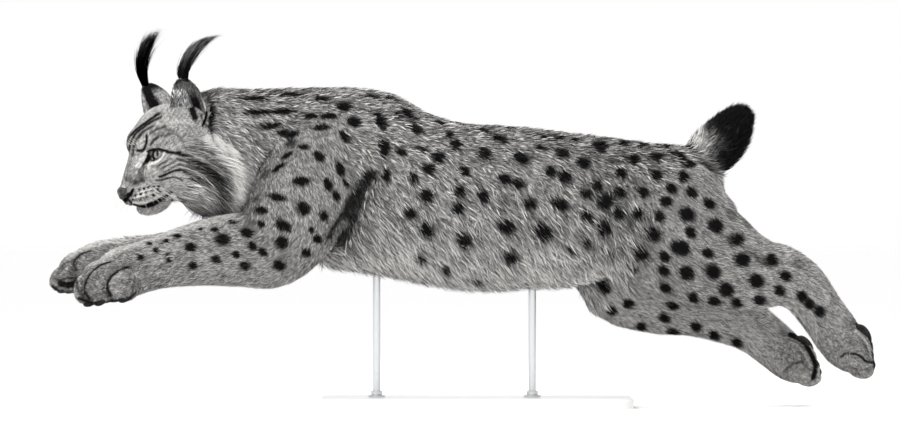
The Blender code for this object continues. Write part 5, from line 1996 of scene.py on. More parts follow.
@dataclass
class TuftMesh:
    """A mesh of many small bent blades, one for each hair."""

    name: str
    segments: int
    sink: float = 0.0010
    softness: float = 0.58

    def paths(self, hairs: Hairs, rng: np.random.Generator) -> tuple[Array, Array]:
        """The bent line of each hair and the direction across it.

        Args:
            hairs: The hairs.
            rng: Seeded numbers.

        Returns:
            Points along each hair, and the blade's cross direction.
        """
        count = hairs.size()
        side = np.cross(hairs.flows, hairs.normals)
        lift = np.radians(hairs.lifts) * rng.uniform(0.55, 1.65, count)
        swing = rng.normal(0, 0.14, count)[:, None]
        lie = unit(hairs.flows + side * swing)
        bend = rng.normal(0, 0.10, count)[:, None]
        steps = []
        for k in range(self.segments + 1):
            t = k / self.segments
            rise = np.sin(lift) * (t * (1 - 0.45 * t))
            move = lie * (np.cos(lift) * t)[:, None] + side * bend * t * t
            steps.append(hairs.roots + (move + hairs.normals * rise[:, None]) * hairs.lengths[:, None])
        path = np.stack(steps, 1)
        path[:, 0] -= hairs.normals * self.sink
        roll = rng.normal(0, 0.6, count)[:, None]
        across = side * np.cos(roll) + hairs.normals * np.sin(roll)
        return path, unit(across)

    def build(
        self, hairs: Hairs, path: Array, across: Array, colours: Array, flat: Array, finish: bpy.types.Material
    ) -> bpy.types.Object:
        """Makes the mesh with its colours, normals and flat map.

        Args:
            hairs: The hairs.
            path: Points along each hair.
            across: The blades' cross directions.
            colours: Colour at each point of each hair.
            flat: Place of each root on the flat map.
            finish: The hair material.

        Returns:
            The coat piece.
        """
        count, stations = path.shape[:2]
        t = np.linspace(0, 1, stations)[:-1]
        taper = np.where(t == 0, 0.85, (1 - t**2.0) ** 0.8)
        half = (hairs.widths[:, None] * taper[None] * 0.5)[:, :, None] * across[:, None]
        pairs = np.stack([path[:, :-1] - half, path[:, :-1] + half], 2).reshape(count, -1, 3)
        verts = np.concatenate([pairs, path[:, -1:]], 1)
        each = verts.shape[1]
        pattern = []
        for k in range(stations - 2):
            i = 2 * k
            pattern += [(i, i + 1, i + 3), (i, i + 3, i + 2)]
        pattern.append((each - 3, each - 2, each - 1))
        faces = (np.array(pattern)[None] + (np.arange(count) * each)[:, None, None]).reshape(-1, 3)
        mesh = bpy.data.meshes.new(self.name)
        mesh.vertices.add(count * each)
        mesh.loops.add(len(faces) * 3)
        mesh.polygons.add(len(faces))
        mesh.vertices.foreach_set("co", verts.astype(np.float32).ravel())
        mesh.loops.foreach_set("vertex_index", faces.astype(np.int32).ravel())
        mesh.polygons.foreach_set("loop_start", np.arange(0, len(faces) * 3, 3, dtype=np.int32))
        mesh.update(calc_edges=True)
        rgba = np.ones((count, each, 4), np.float32)
        rgba[:, :-1, :3] = np.repeat(colours[:, :-1], 2, axis=1)
        rgba[:, -1, :3] = colours[:, -1]
        mesh.color_attributes.new(COLOUR, "FLOAT_COLOR", "POINT").data.foreach_set("color", rgba.ravel())
        reach = np.linspace(-0.5, 0.5, stations)
        patch = np.zeros((each, 2))
        patch[0:-1:2] = np.stack([np.full(stations - 1, -0.5), reach[:-1]], 1)
        patch[1:-1:2] = np.stack([np.full(stations - 1, 0.5), reach[:-1]], 1)
        patch[-1] = (0.0, 0.5)
        uv = flat[:, None] + patch[None] * TUFT_PATCH
        layer = mesh.uv_layers.new(name=BAKE_MAP)
        layer.data.foreach_set("uv", uv.reshape(-1, 2)[faces.ravel()].astype(np.float32).ravel())
        along = unit(path[:, -1] - path[:, 0])
        own = unit(np.cross(across, along))
        own *= np.sign((own * hairs.normals).sum(1))[:, None]
        shading = unit(hairs.normals * self.softness + own * (1 - self.softness))
        mesh.normals_split_custom_set_from_vertices(np.repeat(shading, each, axis=0))
        mesh.materials.append(finish)
        return link(self.name, mesh)


@dataclass
class Coat:
    """The whole coat: short hair over all parts, and the long hair of ruff, belly and ears."""

    skin: CoatMap
    marks: Markings
    finish: bpy.types.Material
    seed: int = 23
    tuft_hairs: int = 900
    cup_hairs: int = 700
    pieces: list = field(default_factory=list)

    def flat_places(self, hairs: Hairs) -> Array:
        """Places of the roots on an unwrap of the skin: along each part and round it.

        Args:
            hairs: The hairs.

        Returns:
            Two numbers from 0 to 1 for each hair.
        """
        flat = np.zeros((hairs.size(), 2))
        for axis in self.skin.axes:
            on = hairs.parts == axis.part
            if on.any():
                along, turn = axis.unrolled(hairs.roots[on], hairs.sections[on])
                flat[on] = np.stack([along, turn], 1)
        on = hairs.parts == Part.HEAD
        local = in_frame(hairs.roots[on], head_frame())
        flat[on] = np.stack([local[:, 0] * 100, np.arctan2(local[:, 1], local[:, 2]) / (2 * math.pi)], 1)
        for ear in EARS:
            on = hairs.parts == ear.part
            away = hairs.roots[on] - np.array(ear.base) * MM
            up, opening, across = ear.ways()
            turn = np.arctan2(away @ across, away @ opening + 0.02) / (2 * math.pi)
            flat[on] = np.stack([away @ up * 100, turn], 1)
        for part in np.unique(hairs.parts):
            on = hairs.parts == part
            low, high = flat[on].min(0), flat[on].max(0)
            flat[on] = (flat[on] - low) / np.maximum(high - low, 1e-6)
        return 0.004 + 0.992 * flat

    def colours_of(self, hairs: Hairs, path: Array, rng: np.random.Generator, tip: float = 1.7) -> Array:
        """Colour along each hair: the tone, the markings, each hair's own shade, and dark roots that are partly
        painted shade deep in the coat.

        Args:
            hairs: The hairs.
            path: Points along each hair.
            rng: Seeded numbers.
            tip: How much lighter the tips are.

        Returns:
            Red, green and blue at each point of each hair.
        """
        head = hairs.parts == Part.HEAD
        front = head | ((hairs.parts == Part.NECK) & (hairs.roots[:, 0] < -0.40))
        long = np.isin(hairs.parts, (Part.TORSO, Part.NECK, Part.TAIL))
        clump = 0.6 * ripples(hairs.roots, 0.0065, rng) + 0.25 * ripples(hairs.roots, 0.016, rng)
        fine = 0.42 * ripples(hairs.roots, 0.0048, rng) + 0.16 * ripples(hairs.roots, 0.012, rng)
        face = head & (hairs.roots[:, 0] < -0.535)
        grain = rng.normal(0, np.where(long, 0.55, np.where(face, 0.36, 0.66)))
        grain = grain + np.where(long, clump, fine) - np.where(long, 0.26, 0.27)
        black = 0.004 * np.exp(rng.normal(0, 0.5, hairs.size()))
        spots = self.marks.spots_at(0.42 * path[:, 0] + 0.58 * path[:, -1], rng)
        spots[head] = 0
        ends = []
        for share in (0.3, 0.85):
            spot = (1 - share) * path[:, 0] + share * path[:, -1]
            tone = hairs.tones * (1 + 0.10 * ripples(spot, 0.07, np.random.default_rng(self.seed)))
            if front.any():
                tone[front] = self.marks.face_at(spot[front], tone[front], rng)
            tone = self.ear_tones(hairs, tone)
            tone = self.marks.paw_shade_and_pale_at(spot, hairs, tone)
            tone = np.clip(tone * np.exp(grain), 0.003, np.where(long, 0.52, 0.9))
            ends.append(tone + (black - tone) * spots)
        t = np.linspace(0, 1, path.shape[1])
        tone = ends[0][:, None] * (1 - t)[None] + ends[1][:, None] * t[None]
        # Roots are darkened far below the tips: partly painted shade deep in the coat, partly the hairs' own
        # paler tips.
        shade = np.clip(tone * (0.12 + (tip - 0.12) * t**0.8)[None], 0.003, 0.95)
        warm = np.array([1.02, 1.0, 0.97])
        tint = 1 + (warm - 1) * smoothstep(0.02, 0.12, shade)[:, :, None]
        return shade[:, :, None] * tint

    @staticmethod
    def half_at(high: Array) -> Array:
        """Half the width of an ear at a height over its root, in millimetres."""
        share = np.clip(high / EAR_HEIGHT, 0, 0.98)
        half = EAR_HALF_WIDTH * (0.62 + 0.38 * np.sin(np.minimum(1.0, share / 0.4) * math.pi / 2))
        return half * (1 - share**2.4) ** 0.62 + 3.5 * share

    def ear_tones(self, hairs: Hairs, tone: Array) -> Array:
        """Black backs with a grey middle, pale rims, and grey inner sides of the ears with painted shade
        darkening the hollow of each cup.

        Args:
            hairs: The hairs.
            tone: The tone so far.

        Returns:
            The changed tone.
        """
        for ear in EARS:
            on = np.flatnonzero(hairs.parts == ear.part)
            if not len(on):
                continue
            up, opening, across = ear.ways()
            away = (hairs.roots[on] - np.array(ear.base) * MM) / MM
            high, broad = away @ up, away @ across
            facing = hairs.normals[on] @ opening
            rearward = broad * np.sign(across[0]) / self.half_at(high)
            middle = smoothstep(-0.25, 0.05, rearward) * smoothstep(0.82, 0.62, rearward)
            middle = middle * smoothstep(70, 50, high)
            back = 0.004 + 0.30 * middle + 0.30 * smoothstep(-0.60, -0.74, rearward) * smoothstep(74, 60, high)
            # Painted shade: the inner side is darkened to near black in the hollow of the cup.
            hollow_shade = smoothstep(0.0, 0.22, rearward) * smoothstep(0.66, 0.50, rearward)
            hollow_shade = hollow_shade * smoothstep(62, 38, high)
            edge = smoothstep(0.84, 0.92, np.abs(rearward))
            inner = (0.11 - 0.106 * hollow_shade) * (1 - edge) + 0.80 * edge
            tone[on] = np.where(facing > 0.1, inner, back)
        return tone

    def grow(self, name: str, hairs: Hairs, segments: int, rng: np.random.Generator, **options: float) -> None:
        """Makes coat pieces from hairs, split along X so that none is too large.

        Args:
            name: The pieces' name.
            hairs: The hairs.
            segments: How many stretches each hair has.
            rng: Seeded numbers.
            **options: How light the tips are, as tip.
        """
        each = 2 * segments - 1
        parts = max(1, math.ceil(hairs.size() * each / PIECE_TRIANGLES))
        order = np.argsort(hairs.roots[:, 0], kind="stable")
        for i, rows in enumerate(np.array_split(order, parts)):
            chosen = hairs.pick(rows)
            label = f"{name}_{i + 1}" if parts > 1 else name
            tufts = TuftMesh(label, segments)
            path, across = tufts.paths(chosen, rng)
            colours = self.colours_of(chosen, path, rng, **options)
            made = tufts.build(chosen, path, across, colours, self.flat_places(chosen), self.finish)
            self.pieces.append(made)
            log.info("%s: %d hairs, %d triangles", label, chosen.size(), chosen.size() * each)

    def bare(self, hairs: Hairs) -> Hairs:
        """Leaves out hairs on nose leather, inside the lids and under the pads.

        Args:
            hairs: The hairs.

        Returns:
            Those that stay.
        """
        local = in_frame(hairs.roots, head_frame()) / MM
        folded = local.copy()
        folded[:, 1] = np.abs(folded[:, 1])
        nose = ((local - np.array([101.0, 0.0, -62.0])) / np.array([14.0, 17.0, 13.0])) ** 2
        keep = (nose.sum(1) > 1.0) & ~((local[:, 0] > 99) & (local[:, 2] < -50) & (local[:, 2] > -76))
        middle, look, long_way, short_way = (np.array(v) for v in Eye.directions(1))
        away = folded - middle
        a, b = away @ long_way, away @ short_way
        window = (a / (LID_HALF_LENGTH + 0.4)) ** 2 + (b / (LID_RISE + 0.3)) ** 2 < 1.0
        keep &= ~(window & (away @ look > 0) & (away @ look < 30))
        keep &= ~(np.linalg.norm(away, axis=1) < EYE_RADIUS + 1.4)
        for paw in PAWS:
            own = in_frame(hairs.roots, paw_frame(paw)) / MM / paw.scale
            for pad in Paws.pad_lumps(paw):
                gap = ((own - np.array([pad.x, pad.y, pad.z])) / np.array([pad.rx, pad.ry, pad.rz])) ** 2
                keep &= gap.sum(1) > 0.9
        return hairs.pick(np.flatnonzero(keep))

    def short_hair(self) -> None:
        """Grows the hair of all parts: fine undercoat, and longer guard hair over trunk and neck."""
        rng = np.random.default_rng(self.seed)
        hairs = self.bare(scatter(self.skin, self.skin.densities, rng))
        guard = np.isin(hairs.parts, (Part.TORSO, Part.NECK, Part.TAIL))
        guard &= rng.random(hairs.size()) < 0.30
        hairs.lengths = hairs.lengths * rng.uniform(0.72, 1.2, hairs.size()) * np.where(guard, 1.12, 0.9)
        hairs.widths = hairs.widths * rng.uniform(0.7, 1.3, hairs.size()) * np.where(guard, 1.15, 1.0)
        wave = 0.22 * ripples(hairs.roots, 0.010, rng) + 0.20 * ripples(hairs.roots, 0.03, rng)
        wave = wave * np.where(np.isin(hairs.parts, (Part.TORSO, Part.NECK)), 1.0, 0.7)
        side = np.cross(hairs.flows, hairs.normals)
        hairs.flows = unit(hairs.flows + side * wave[:, None])
        ears = tuple(ear.part for ear in EARS)
        names = {f"coat_{part.name.lower()}": (part,) for part in Part if part not in ears}
        names["coat_ears"] = ears
        for name, parts in names.items():
            on = np.isin(hairs.parts, parts)
            self.grow(name, hairs.pick(np.flatnonzero(on & ~guard)), 1, rng)
            if (on & guard).any():
                self.grow(name + "_guard", hairs.pick(np.flatnonzero(on & guard)), 2, rng)

    def clumped(self, hairs: Hairs, centres: int, pull: float, rng: np.random.Generator) -> Hairs:
        """Draws hairs together into locks by turning them towards shared tips.

        Args:
            hairs: The hairs.
            centres: How many locks there are.
            pull: How strongly, from 0 to 1.
            rng: Seeded numbers.

        Returns:
            The same hairs with a changed lie.
        """
        leaders = rng.choice(hairs.size(), min(centres, hairs.size()), replace=False)
        nearest = np.zeros(hairs.size(), int)
        for rows in np.array_split(np.arange(hairs.size()), 40):
            gaps = ((hairs.roots[rows, None] - hairs.roots[None, leaders]) ** 2).sum(2)
            nearest[rows] = gaps.argmin(1)
        lead = leaders[nearest]
        tips = hairs.roots[lead] + hairs.flows[lead] * hairs.lengths[lead][:, None]
        toward = unit(tips - hairs.roots)
        flows = unit(hairs.flows * (1 - pull) + toward * pull)
        flows -= hairs.normals * (flows * hairs.normals).sum(1)[:, None]
        hairs.flows = unit(flows)
        return hairs

    def ruff(self) -> None:
        """Grows the long locks of cheeks and throat."""
        rng = np.random.default_rng(self.seed + 1)
        coat = self.skin
        local = coat.head_points()
        f, side, u = local[:, 0], np.abs(local[:, 1]), local[:, 2]
        zone = smoothstep(22, -8, f) * smoothstep(-82, -58, f) * smoothstep(30, 5, u)
        zone = zone * smoothstep(24, 40, side)
        throat = smoothstep(6, -16, f) * smoothstep(-42, -58, u)
        zone = np.maximum(zone, throat * 0.8) * (coat.parts == Part.HEAD)
        hairs = scatter(coat, 0.85 * zone, rng)
        count = hairs.size()
        forward = np.array(head_frame())[:3, 0]
        reach = smoothstep(30, -60, ((hairs.roots - np.array(HEAD_PLACE) * MM) @ forward) / MM)
        hairs.lengths = (34 + 44 * reach) * MM * rng.uniform(0.7, 1.15, count)
        hairs.widths = rng.uniform(0.8, 1.5, count) * MM
        hairs.lifts = rng.uniform(10, 20, count)
        down = np.array([0.45, 0.0, -0.75])
        hairs.flows = unit(hairs.flows + down * 0.7)
        hairs.flows = unit(hairs.flows - hairs.normals * (hairs.flows * hairs.normals).sum(1)[:, None])
        hairs = self.clumped(hairs, 260, 0.55, rng)
        self.grow("coat_ruff", hairs, 4, rng, tip=1.35)

    def fringe(self) -> None:
        """Grows the long hair of chest and belly."""
        rng = np.random.default_rng(self.seed + 2)
        coat = self.skin
        under = smoothstep(0.5, -0.2, coat.normals[:, 2]) * smoothstep(0.38, 0.28, coat.points[:, 2])
        trunk = np.isin(coat.parts, (Part.TORSO, Part.NECK))
        hairs = scatter(coat, 0.17 * under * trunk * (1 - coat.armpit()), rng)
        count = hairs.size()
        hairs.lengths = rng.uniform(30, 52, count) * MM
        hairs.widths = rng.uniform(1.3, 2.3, count) * MM
        hairs.lifts = rng.uniform(12, 24, count) + 22 * smoothstep(-0.4, -0.9, hairs.normals[:, 2])
        hairs = self.clumped(hairs, 900, 0.62, rng)
        self.grow("coat_belly", hairs, 4, rng, tip=1.5)

    def ear_tufts(self) -> None:
        """Grows the black tufts of the ears, and the pale hair inside the cups."""
        rng = np.random.default_rng(self.seed + 3)
        for ear in EARS:
            up, opening, across = ear.ways()
            line = smooth_rows(np.array(ear.tuft, float), 4)
            count, stations = self.tuft_hairs, 8
            reach = rng.uniform(0.40, 1.0, count) ** 0.55
            turn = rng.uniform(0, 2 * math.pi, count)
            spread = np.sqrt(rng.random(count)) * 12.0
            drift = rng.normal(0, 3.0, (count, 2))
            path = np.zeros((count, stations, 3))
            for k in range(stations):
                t = k / (stations - 1)
                spot = reach * t * (len(line) - 1)
                low = np.minimum(spot.astype(int), len(line) - 2)
                middle = line[low] + (line[low + 1] - line[low]) * (spot - low)[:, None]
                wide = spread * (0.50 + 0.62 * math.sin(math.pi * min(t * 0.72, 0.5)))
                wide = wide[:, None] * np.stack([np.cos(turn), np.sin(turn) * 0.75], 1) + drift * t * t * 2.2
                path[:, k] = (middle + across * wide[:, :1] + opening * wide[:, 1:]) * MM
            blades = unit(across + rng.normal(0, 0.5, (count, 3)))
            out = unit(np.cos(turn)[:, None] * across + np.sin(turn)[:, None] * opening)
            hairs = Hairs(
                path[:, 0],
                out,
                np.tile(up, (count, 1)),
                np.full(count, 0.1),
                rng.uniform(0.8, 1.5, count) * MM,
                np.zeros(count),
                np.full(count, ear.part),
                np.zeros(count, int),
                np.full(count, 0.012),
            )
            t = np.linspace(0, 1, stations)
            outer = (0.06 + 0.94 * (spread / 12.0) ** 4)[:, None] * rng.uniform(0.0, 1.3, (count, 1)) ** 2
            shade = 0.003 + 0.42 * outer * smoothstep(0.30, 1.0, t)[None] ** 1.3
            colours = np.repeat(shade[:, :, None], 3, axis=2)
            flat = np.stack([rng.uniform(0.05, 0.95, count), rng.uniform(0.05, 0.95, count)], 1)
            tufts = TuftMesh(f"{ear.name}_tuft", stations - 1)
            self.pieces.append(tufts.build(hairs, path, blades, colours, flat, self.finish))
            log.info("%s_tuft: %d hairs", ear.name, count)
            self.cup_hair(ear, rng)

    def cup_hair(self, ear: Ear, rng: np.random.Generator) -> None:
        """Grows the long pale hair that crosses the opening of an ear.

        Args:
            ear: The ear.
            rng: Seeded numbers.
        """
        up, opening, across = ear.ways()
        front = across * (1 if across[0] < 0 else -1)
        count = self.cup_hairs
        high = rng.uniform(-18, 62, count)
        share = rng.uniform(0.05, 0.80, count)
        half = self.half_at(high)
        deep = 0.66 * half * np.sqrt(np.maximum(1 - share**2, 0.02))
        deep = deep * (1 - 0.35 * np.clip(high / EAR_HEIGHT, 0, 1))
        roots = np.array(ear.base) + up * high[:, None] + front * (half * share)[:, None]
        roots = (roots - opening * (deep - EAR_WALL)[:, None]) * MM
        hairs = Hairs(
            roots,
            np.tile(opening, (count, 1)),
            unit(up * 1.0 - front * rng.uniform(0.2, 1.0, (count, 1)) + opening * 0.15),
            rng.uniform(8, 15, count) * MM,
            rng.uniform(0.7, 1.2, count) * MM,
            rng.uniform(12, 40, count),
            np.full(count, ear.part),
            np.zeros(count, int),
            np.full(count, 0.4),
        )
        tufts = TuftMesh(f"{ear.name}_inner_hair", 4)
        path, blades = tufts.paths(hairs, rng)
        tone = 0.30 * np.exp(rng.normal(0, 0.8, count))
        # Dark roots, pale tips: partly painted shade deep among the hairs, partly the hairs' own paler tips.
        colours = np.repeat((tone[:, None] * np.linspace(0.2, 1.5, 5)[None])[:, :, None], 3, axis=2)
        self.pieces.append(tufts.build(hairs, path, blades, colours, self.flat_places(hairs), self.finish))

    def build(self) -> list:
        """Grows all hair.

        Returns:
            The coat's pieces.
        """
        self.short_hair()
        self.ruff()
        self.fringe()
        self.ear_tufts()
        return self.pieces


@dataclass
class Eye:
    """An eyeball with a bulging cornea, a grey iris and a slit pupil, and the dark rim of its lids."""

    side: int
    finish: bpy.types.Material
    rim_finish: bpy.types.Material
    rings: int = 56
    turns: int = 72
    bulge: float = 1.1
    iris: float = 0.84

    @staticmethod
    def directions(side: int) -> tuple[Vector, Vector, Vector, Vector]:
        """Where an eye is in the head's frame and how it looks.

        Args:
            side: 1 for the left eye, -1 for the right.

        Returns:
            Its middle, its look, the long way of its opening and the short way.
        """
        look = Vector((EYE_LOOK[0], EYE_LOOK[1] * side, EYE_LOOK[2])).normalized()
        up = Vector((0, 0, 1))
        up = (up - look * up.dot(look)).normalized()
        outer = look.cross(up) * -side
        long_way = outer * math.cos(LID_ROLL) + up * math.sin(LID_ROLL)
        short_way = up * math.cos(LID_ROLL) - outer * math.sin(LID_ROLL)
        return Vector((EYE_MIDDLE[0], EYE_MIDDLE[1] * side, EYE_MIDDLE[2])), look, long_way, short_way

    @staticmethod
    def opening(turn: float) -> tuple[float, float]:
        """A point on the almond opening at an angle, along it and across it, in millimetres."""
        high = LID_RISE if math.sin(turn) > 0 else LID_DROP
        along = math.copysign(abs(math.cos(turn)) ** 1.15, math.cos(turn)) * LID_HALF_LENGTH
        return along, math.sin(turn) * high

    def colour_at(self, polar: float, turn: float, rng: np.random.Generator) -> tuple[float, ...]:
        """The eye's colour at an angle from its look, with a painted shadow of the upper lid across the top of
        the iris.

        Args:
            polar: Angle from the look.
            turn: Angle round the look, from up.
            rng: Seeded numbers for the fibres.

        Returns:
            Red, green, blue and alpha.
        """
        across, high = polar * math.sin(turn), polar * math.cos(turn)
        if (across / 0.17) ** 2 + ((high - 0.10) / 0.40) ** 2 < 1:
            return (0.003, 0.003, 0.003, 1.0)
        if polar < self.iris:
            share = polar / self.iris
            light = 0.15 + 0.20 * share
            # Painted shadow of the upper lid: the top of the iris is darkened.
            light *= rng.uniform(0.8, 1.2) * (1 - 0.75 * smoothstep(0.15, 0.5, high))
            if share > 0.86:
                light *= 0.05
            return (light * 1.02, light * 1.0, light * 0.95, 1.0)
        return (0.004, 0.004, 0.004, 0.0)

    def build(self) -> list:
        """Makes the eyeball and the rim of the lids.

        Returns:
            Both pieces.
        """
        rng = np.random.default_rng(3)
        place = head_frame()
        middle, look, _, _ = self.directions(self.side)
        look = (look + Vector((0, 0.20 * self.side, 0))).normalized()
        up = Vector((0, 0, 1))
        up = (up - look * up.dot(look)).normalized()
        outer = up.cross(look)
        points, colours = [], []
        for i in range(self.rings + 1):
            polar = math.pi * (i / self.rings) ** 1.35
            radius = EYE_RADIUS - 0.2 + self.bulge * math.exp(-((polar / 0.62) ** 4))
            for j in range(self.turns):
                turn = 2 * math.pi * j / self.turns
                way = look * math.cos(polar) + (up * math.cos(turn) + outer * math.sin(turn)) * math.sin(polar)
                points.append(place @ ((middle + way * radius) * MM))
                colours += self.colour_at(polar, turn, rng)
        word = "left" if self.side > 0 else "right"
        ball = from_faces(f"eyeball_{word}", points, grid_faces(self.rings + 1, self.turns))
        attribute = ball.data.color_attributes.new(COLOUR, "FLOAT_COLOR", "POINT")
        attribute.data.foreach_set("color", np.array(colours, np.float32))
        dress_in(ball, self.finish)
        return [ball, self.build_rim(word)]

    def build_rim(self, word: str) -> bpy.types.Object:
        """The dark moist edge round the opening of the lids.

        Args:
            word: Which eye it is.

        Returns:
            The rim.
        """
        place = head_frame()
        middle, look, long_way, short_way = self.directions(self.side)
        turns, sides, reach = 64, 8, EYE_RADIUS + 1.6
        centres = []
        for k in range(turns):
            a, b = self.opening(2 * math.pi * k / turns)
            depth = math.sqrt(max(reach**2 - a * a - b * b, 1.0))
            centres.append(middle + look * depth + long_way * a + short_way * b)
        points = []
        for k in range(turns):
            along = (centres[(k + 1) % turns] - centres[k - 1]).normalized()
            out = (centres[k] - middle).normalized()
            out = (out - along * out.dot(along)).normalized()
            wide = along.cross(out)
            for s in range(sides):
                turn = 2 * math.pi * s / sides
                spot = centres[k] + out * math.cos(turn) * 0.9 + wide * math.sin(turn) * 1.3
                points.append(place @ (spot * MM))
        rim = from_faces(f"lid_rim_{word}", points, grid_faces(turns, sides, ring=True))
        dress_in(rim, self.rim_finish)
        return rim


@dataclass
class Nose:
    """The nose leather with its two comma-shaped nostrils."""

    finish: bpy.types.Material
    voxel: float = 0.0011

    def build(self) -> bpy.types.Object:
        """Makes the nose leather.

        Returns:
            The nose.
        """
        place = head_frame()
        parts = [
            lump(Lump(98, 0, -60.5, 12.0, 15.0, 8.5, 18), place, 4),
            lump(Lump(99, 0, -69, 8.5, 7.0, 8.5), place, 4),
            lump(Lump(99, 8.5, -66.5, 8.5, 6.5, 7.0, 12), place, 4),
            lump(Lump(99, -8.5, -66.5, 8.5, 6.5, 7.0, 12), place, 4),
        ]
        nose = fused("nose_leather", parts, self.voxel, 5, 0.0004)
        for side in (1, -1):
            rings = (
                Ring(112, 5.0 * side, -69, 2.6, 2.6),
                Ring(107, 9.5 * side, -70, 3.6, 3.6),
                Ring(101, 14.0 * side, -69, 3.2, 3.2),
                Ring(95, 17.5 * side, -66, 1.8, 1.8),
            )
            cutter = limb(rings, 12)
            cutter.data.transform(place)
            boolean(nose, cutter, "DIFFERENCE")
        dress_in(nose, self.finish)
        return nose


class StrandTree:
    """A Geometry Nodes tree that gives curves a tapering round body."""

    def __init__(self, name: str, finish: bpy.types.Material) -> None:
        """Builds the tree.

        Args:
            name: The tree's name.
            finish: The material of the strands.
        """
        tree = bpy.data.node_groups.new(name, "GeometryNodeTree")
        tree.interface.new_socket("Geometry", in_out="INPUT", socket_type="NodeSocketGeometry")
        tree.interface.new_socket("Root Radius", in_out="INPUT", socket_type="NodeSocketFloat")
        tree.interface.new_socket("Tip Share", in_out="INPUT", socket_type="NodeSocketFloat")
        tree.interface.new_socket("Sides", in_out="INPUT", socket_type="NodeSocketInt")
        tree.interface.new_socket("Geometry", in_out="OUTPUT", socket_type="NodeSocketGeometry")
        add = tree.nodes.new
        source, sink = add("NodeGroupInput"), add("NodeGroupOutput")
        share = add("GeometryNodeSplineParameter")
        spread = add("ShaderNodeMapRange")
        spread.inputs["To Min"].default_value = 1.0
        size = add("ShaderNodeMath")
        size.operation = "MULTIPLY"
        radius = add("GeometryNodeSetCurveRadius")
        circle = add("GeometryNodeCurvePrimitiveCircle")
        circle.inputs["Radius"].default_value = 1.0
        body = add("GeometryNodeCurveToMesh")
        body.inputs["Fill Caps"].default_value = True
        realize = add("GeometryNodeRealizeInstances")
        dress = add("GeometryNodeSetMaterial")
        dress.inputs["Material"].default_value = finish
        link_to = tree.links.new
        link_to(share.outputs["Factor"], spread.inputs["Value"])
        link_to(source.outputs["Tip Share"], spread.inputs["To Max"])
        link_to(spread.outputs["Result"], size.inputs[0])
        link_to(source.outputs["Root Radius"], size.inputs[1])
        link_to(source.outputs["Geometry"], radius.inputs["Curve"])
        link_to(size.outputs["Value"], radius.inputs["Radius"])
        link_to(source.outputs["Sides"], circle.inputs["Resolution"])
        link_to(radius.outputs["Curve"], body.inputs["Curve"])
        link_to(circle.outputs["Curve"], body.inputs["Profile Curve"])
        if "Scale" in body.inputs:
            link_to(size.outputs["Value"], body.inputs["Scale"])
        link_to(body.outputs["Mesh"], realize.inputs["Geometry"])
        link_to(realize.outputs["Geometry"], dress.inputs["Geometry"])
        link_to(dress.outputs["Geometry"], sink.inputs["Geometry"])
        self.tree = tree

    def strands(self, name: str, lines: list, root: float, tip: float, sides: int) -> bpy.types.Object:
        """Runs the tree on some lines and keeps the mesh.

        Args:
            name: The piece's name.
            lines: Points of each line in metres.
            root: Radius at the root in metres.
            tip: Share of it at the tip.
            sides: Sides of a section.

        Returns:
            The finished piece.
        """
        curve = bpy.data.curves.new(name, "CURVE")
        curve.dimensions = "3D"
        for line in lines:
            spline = curve.splines.new("POLY")
            spline.points.add(len(line) - 1)
            for point, place in zip(spline.points, line):
                point.co = (*place, 1.0)
        holder = bpy.data.objects.new(name + "_lines", curve)
        bpy.context.scene.collection.objects.link(holder)
        step = holder.modifiers.new("Strands", "NODES")
        step.node_group = self.tree
        values = {"Root Radius": root, "Tip Share": tip, "Sides": sides}
        for item in self.tree.interface.items_tree:
            if item.name in values and item.in_out == "INPUT":
                step[item.identifier] = values[item.name]
        graph = bpy.context.evaluated_depsgraph_get()
        mesh = bpy.data.meshes.new_from_object(holder.evaluated_get(graph))
        bpy.data.objects.remove(holder)
        mesh.name = name
        mesh.shade_smooth()
        return link(name, mesh)


@dataclass
class Whiskers:
    """Stiff pale whiskers of the muzzle and long hairs of the brow."""

    tree: StrandTree
    root: float = 0.00045
    seed: int = 8
    steps: int = 8

    def line(self, start: Vector, way: Vector, length: float, droop: float) -> list:
        """A bowed line from a root.

        Args:
            start: Where it leaves the skin, in metres.
            way: Its first direction.
            length: Its length in metres.
            droop: How much it bends down.

        Returns:
            Its points.
        """
        down = Vector((0, 0, -1))
        shares = [k / self.steps for k in range(self.steps + 1)]
        return [start + way * length * t + down * droop * length * t * t for t in shares]

    def build(self, tree: BVHTree) -> bpy.types.Object:
        """Makes all whiskers.

        Args:
            tree: The skin's faces.

        Returns:
            The whiskers.
        """
        rng = np.random.default_rng(self.seed)
        place = head_frame()
        inverse = place.inverted()
        lines = []
        for row in WHISKER_ROWS:
            for t, (x, z) in zip(np.linspace(0, 1, 7), smooth_rows(row, 3)):
                hit = tree.ray_cast(Vector((x * MM, -0.6, z * MM)), Vector((0, 1, 0)))[0]
                if hit is None:
                    continue
                local = inverse @ hit
                for side in (1, -1):
                    root = place @ Vector((local.x, local.y * side, local.z))
                    way = Vector((0.35 - 0.75 * t, side * 1.0, rng.uniform(-0.30, -0.05)))
                    way = (place.to_3x3() @ way).normalized()
                    length = (0.036 + 0.030 * t) * rng.uniform(0.75, 1.2)
                    lines.append(self.line(root - way * 0.001, way, length, rng.uniform(0.15, 0.35)))
        for side in (1, -1):
            for k in range(4):
                hit = tree.find_nearest(place @ (Vector((76 - 3 * k, (9 + 5 * k) * side, 22)) * MM))[0]
                way = place.to_3x3() @ Vector((0.95, 0.12 * side, 0.5))
                lines.append(self.line(hit, way.normalized(), rng.uniform(0.020, 0.034), -0.1))
        return self.tree.strands("whiskers", lines, self.root, 0.15, 5)


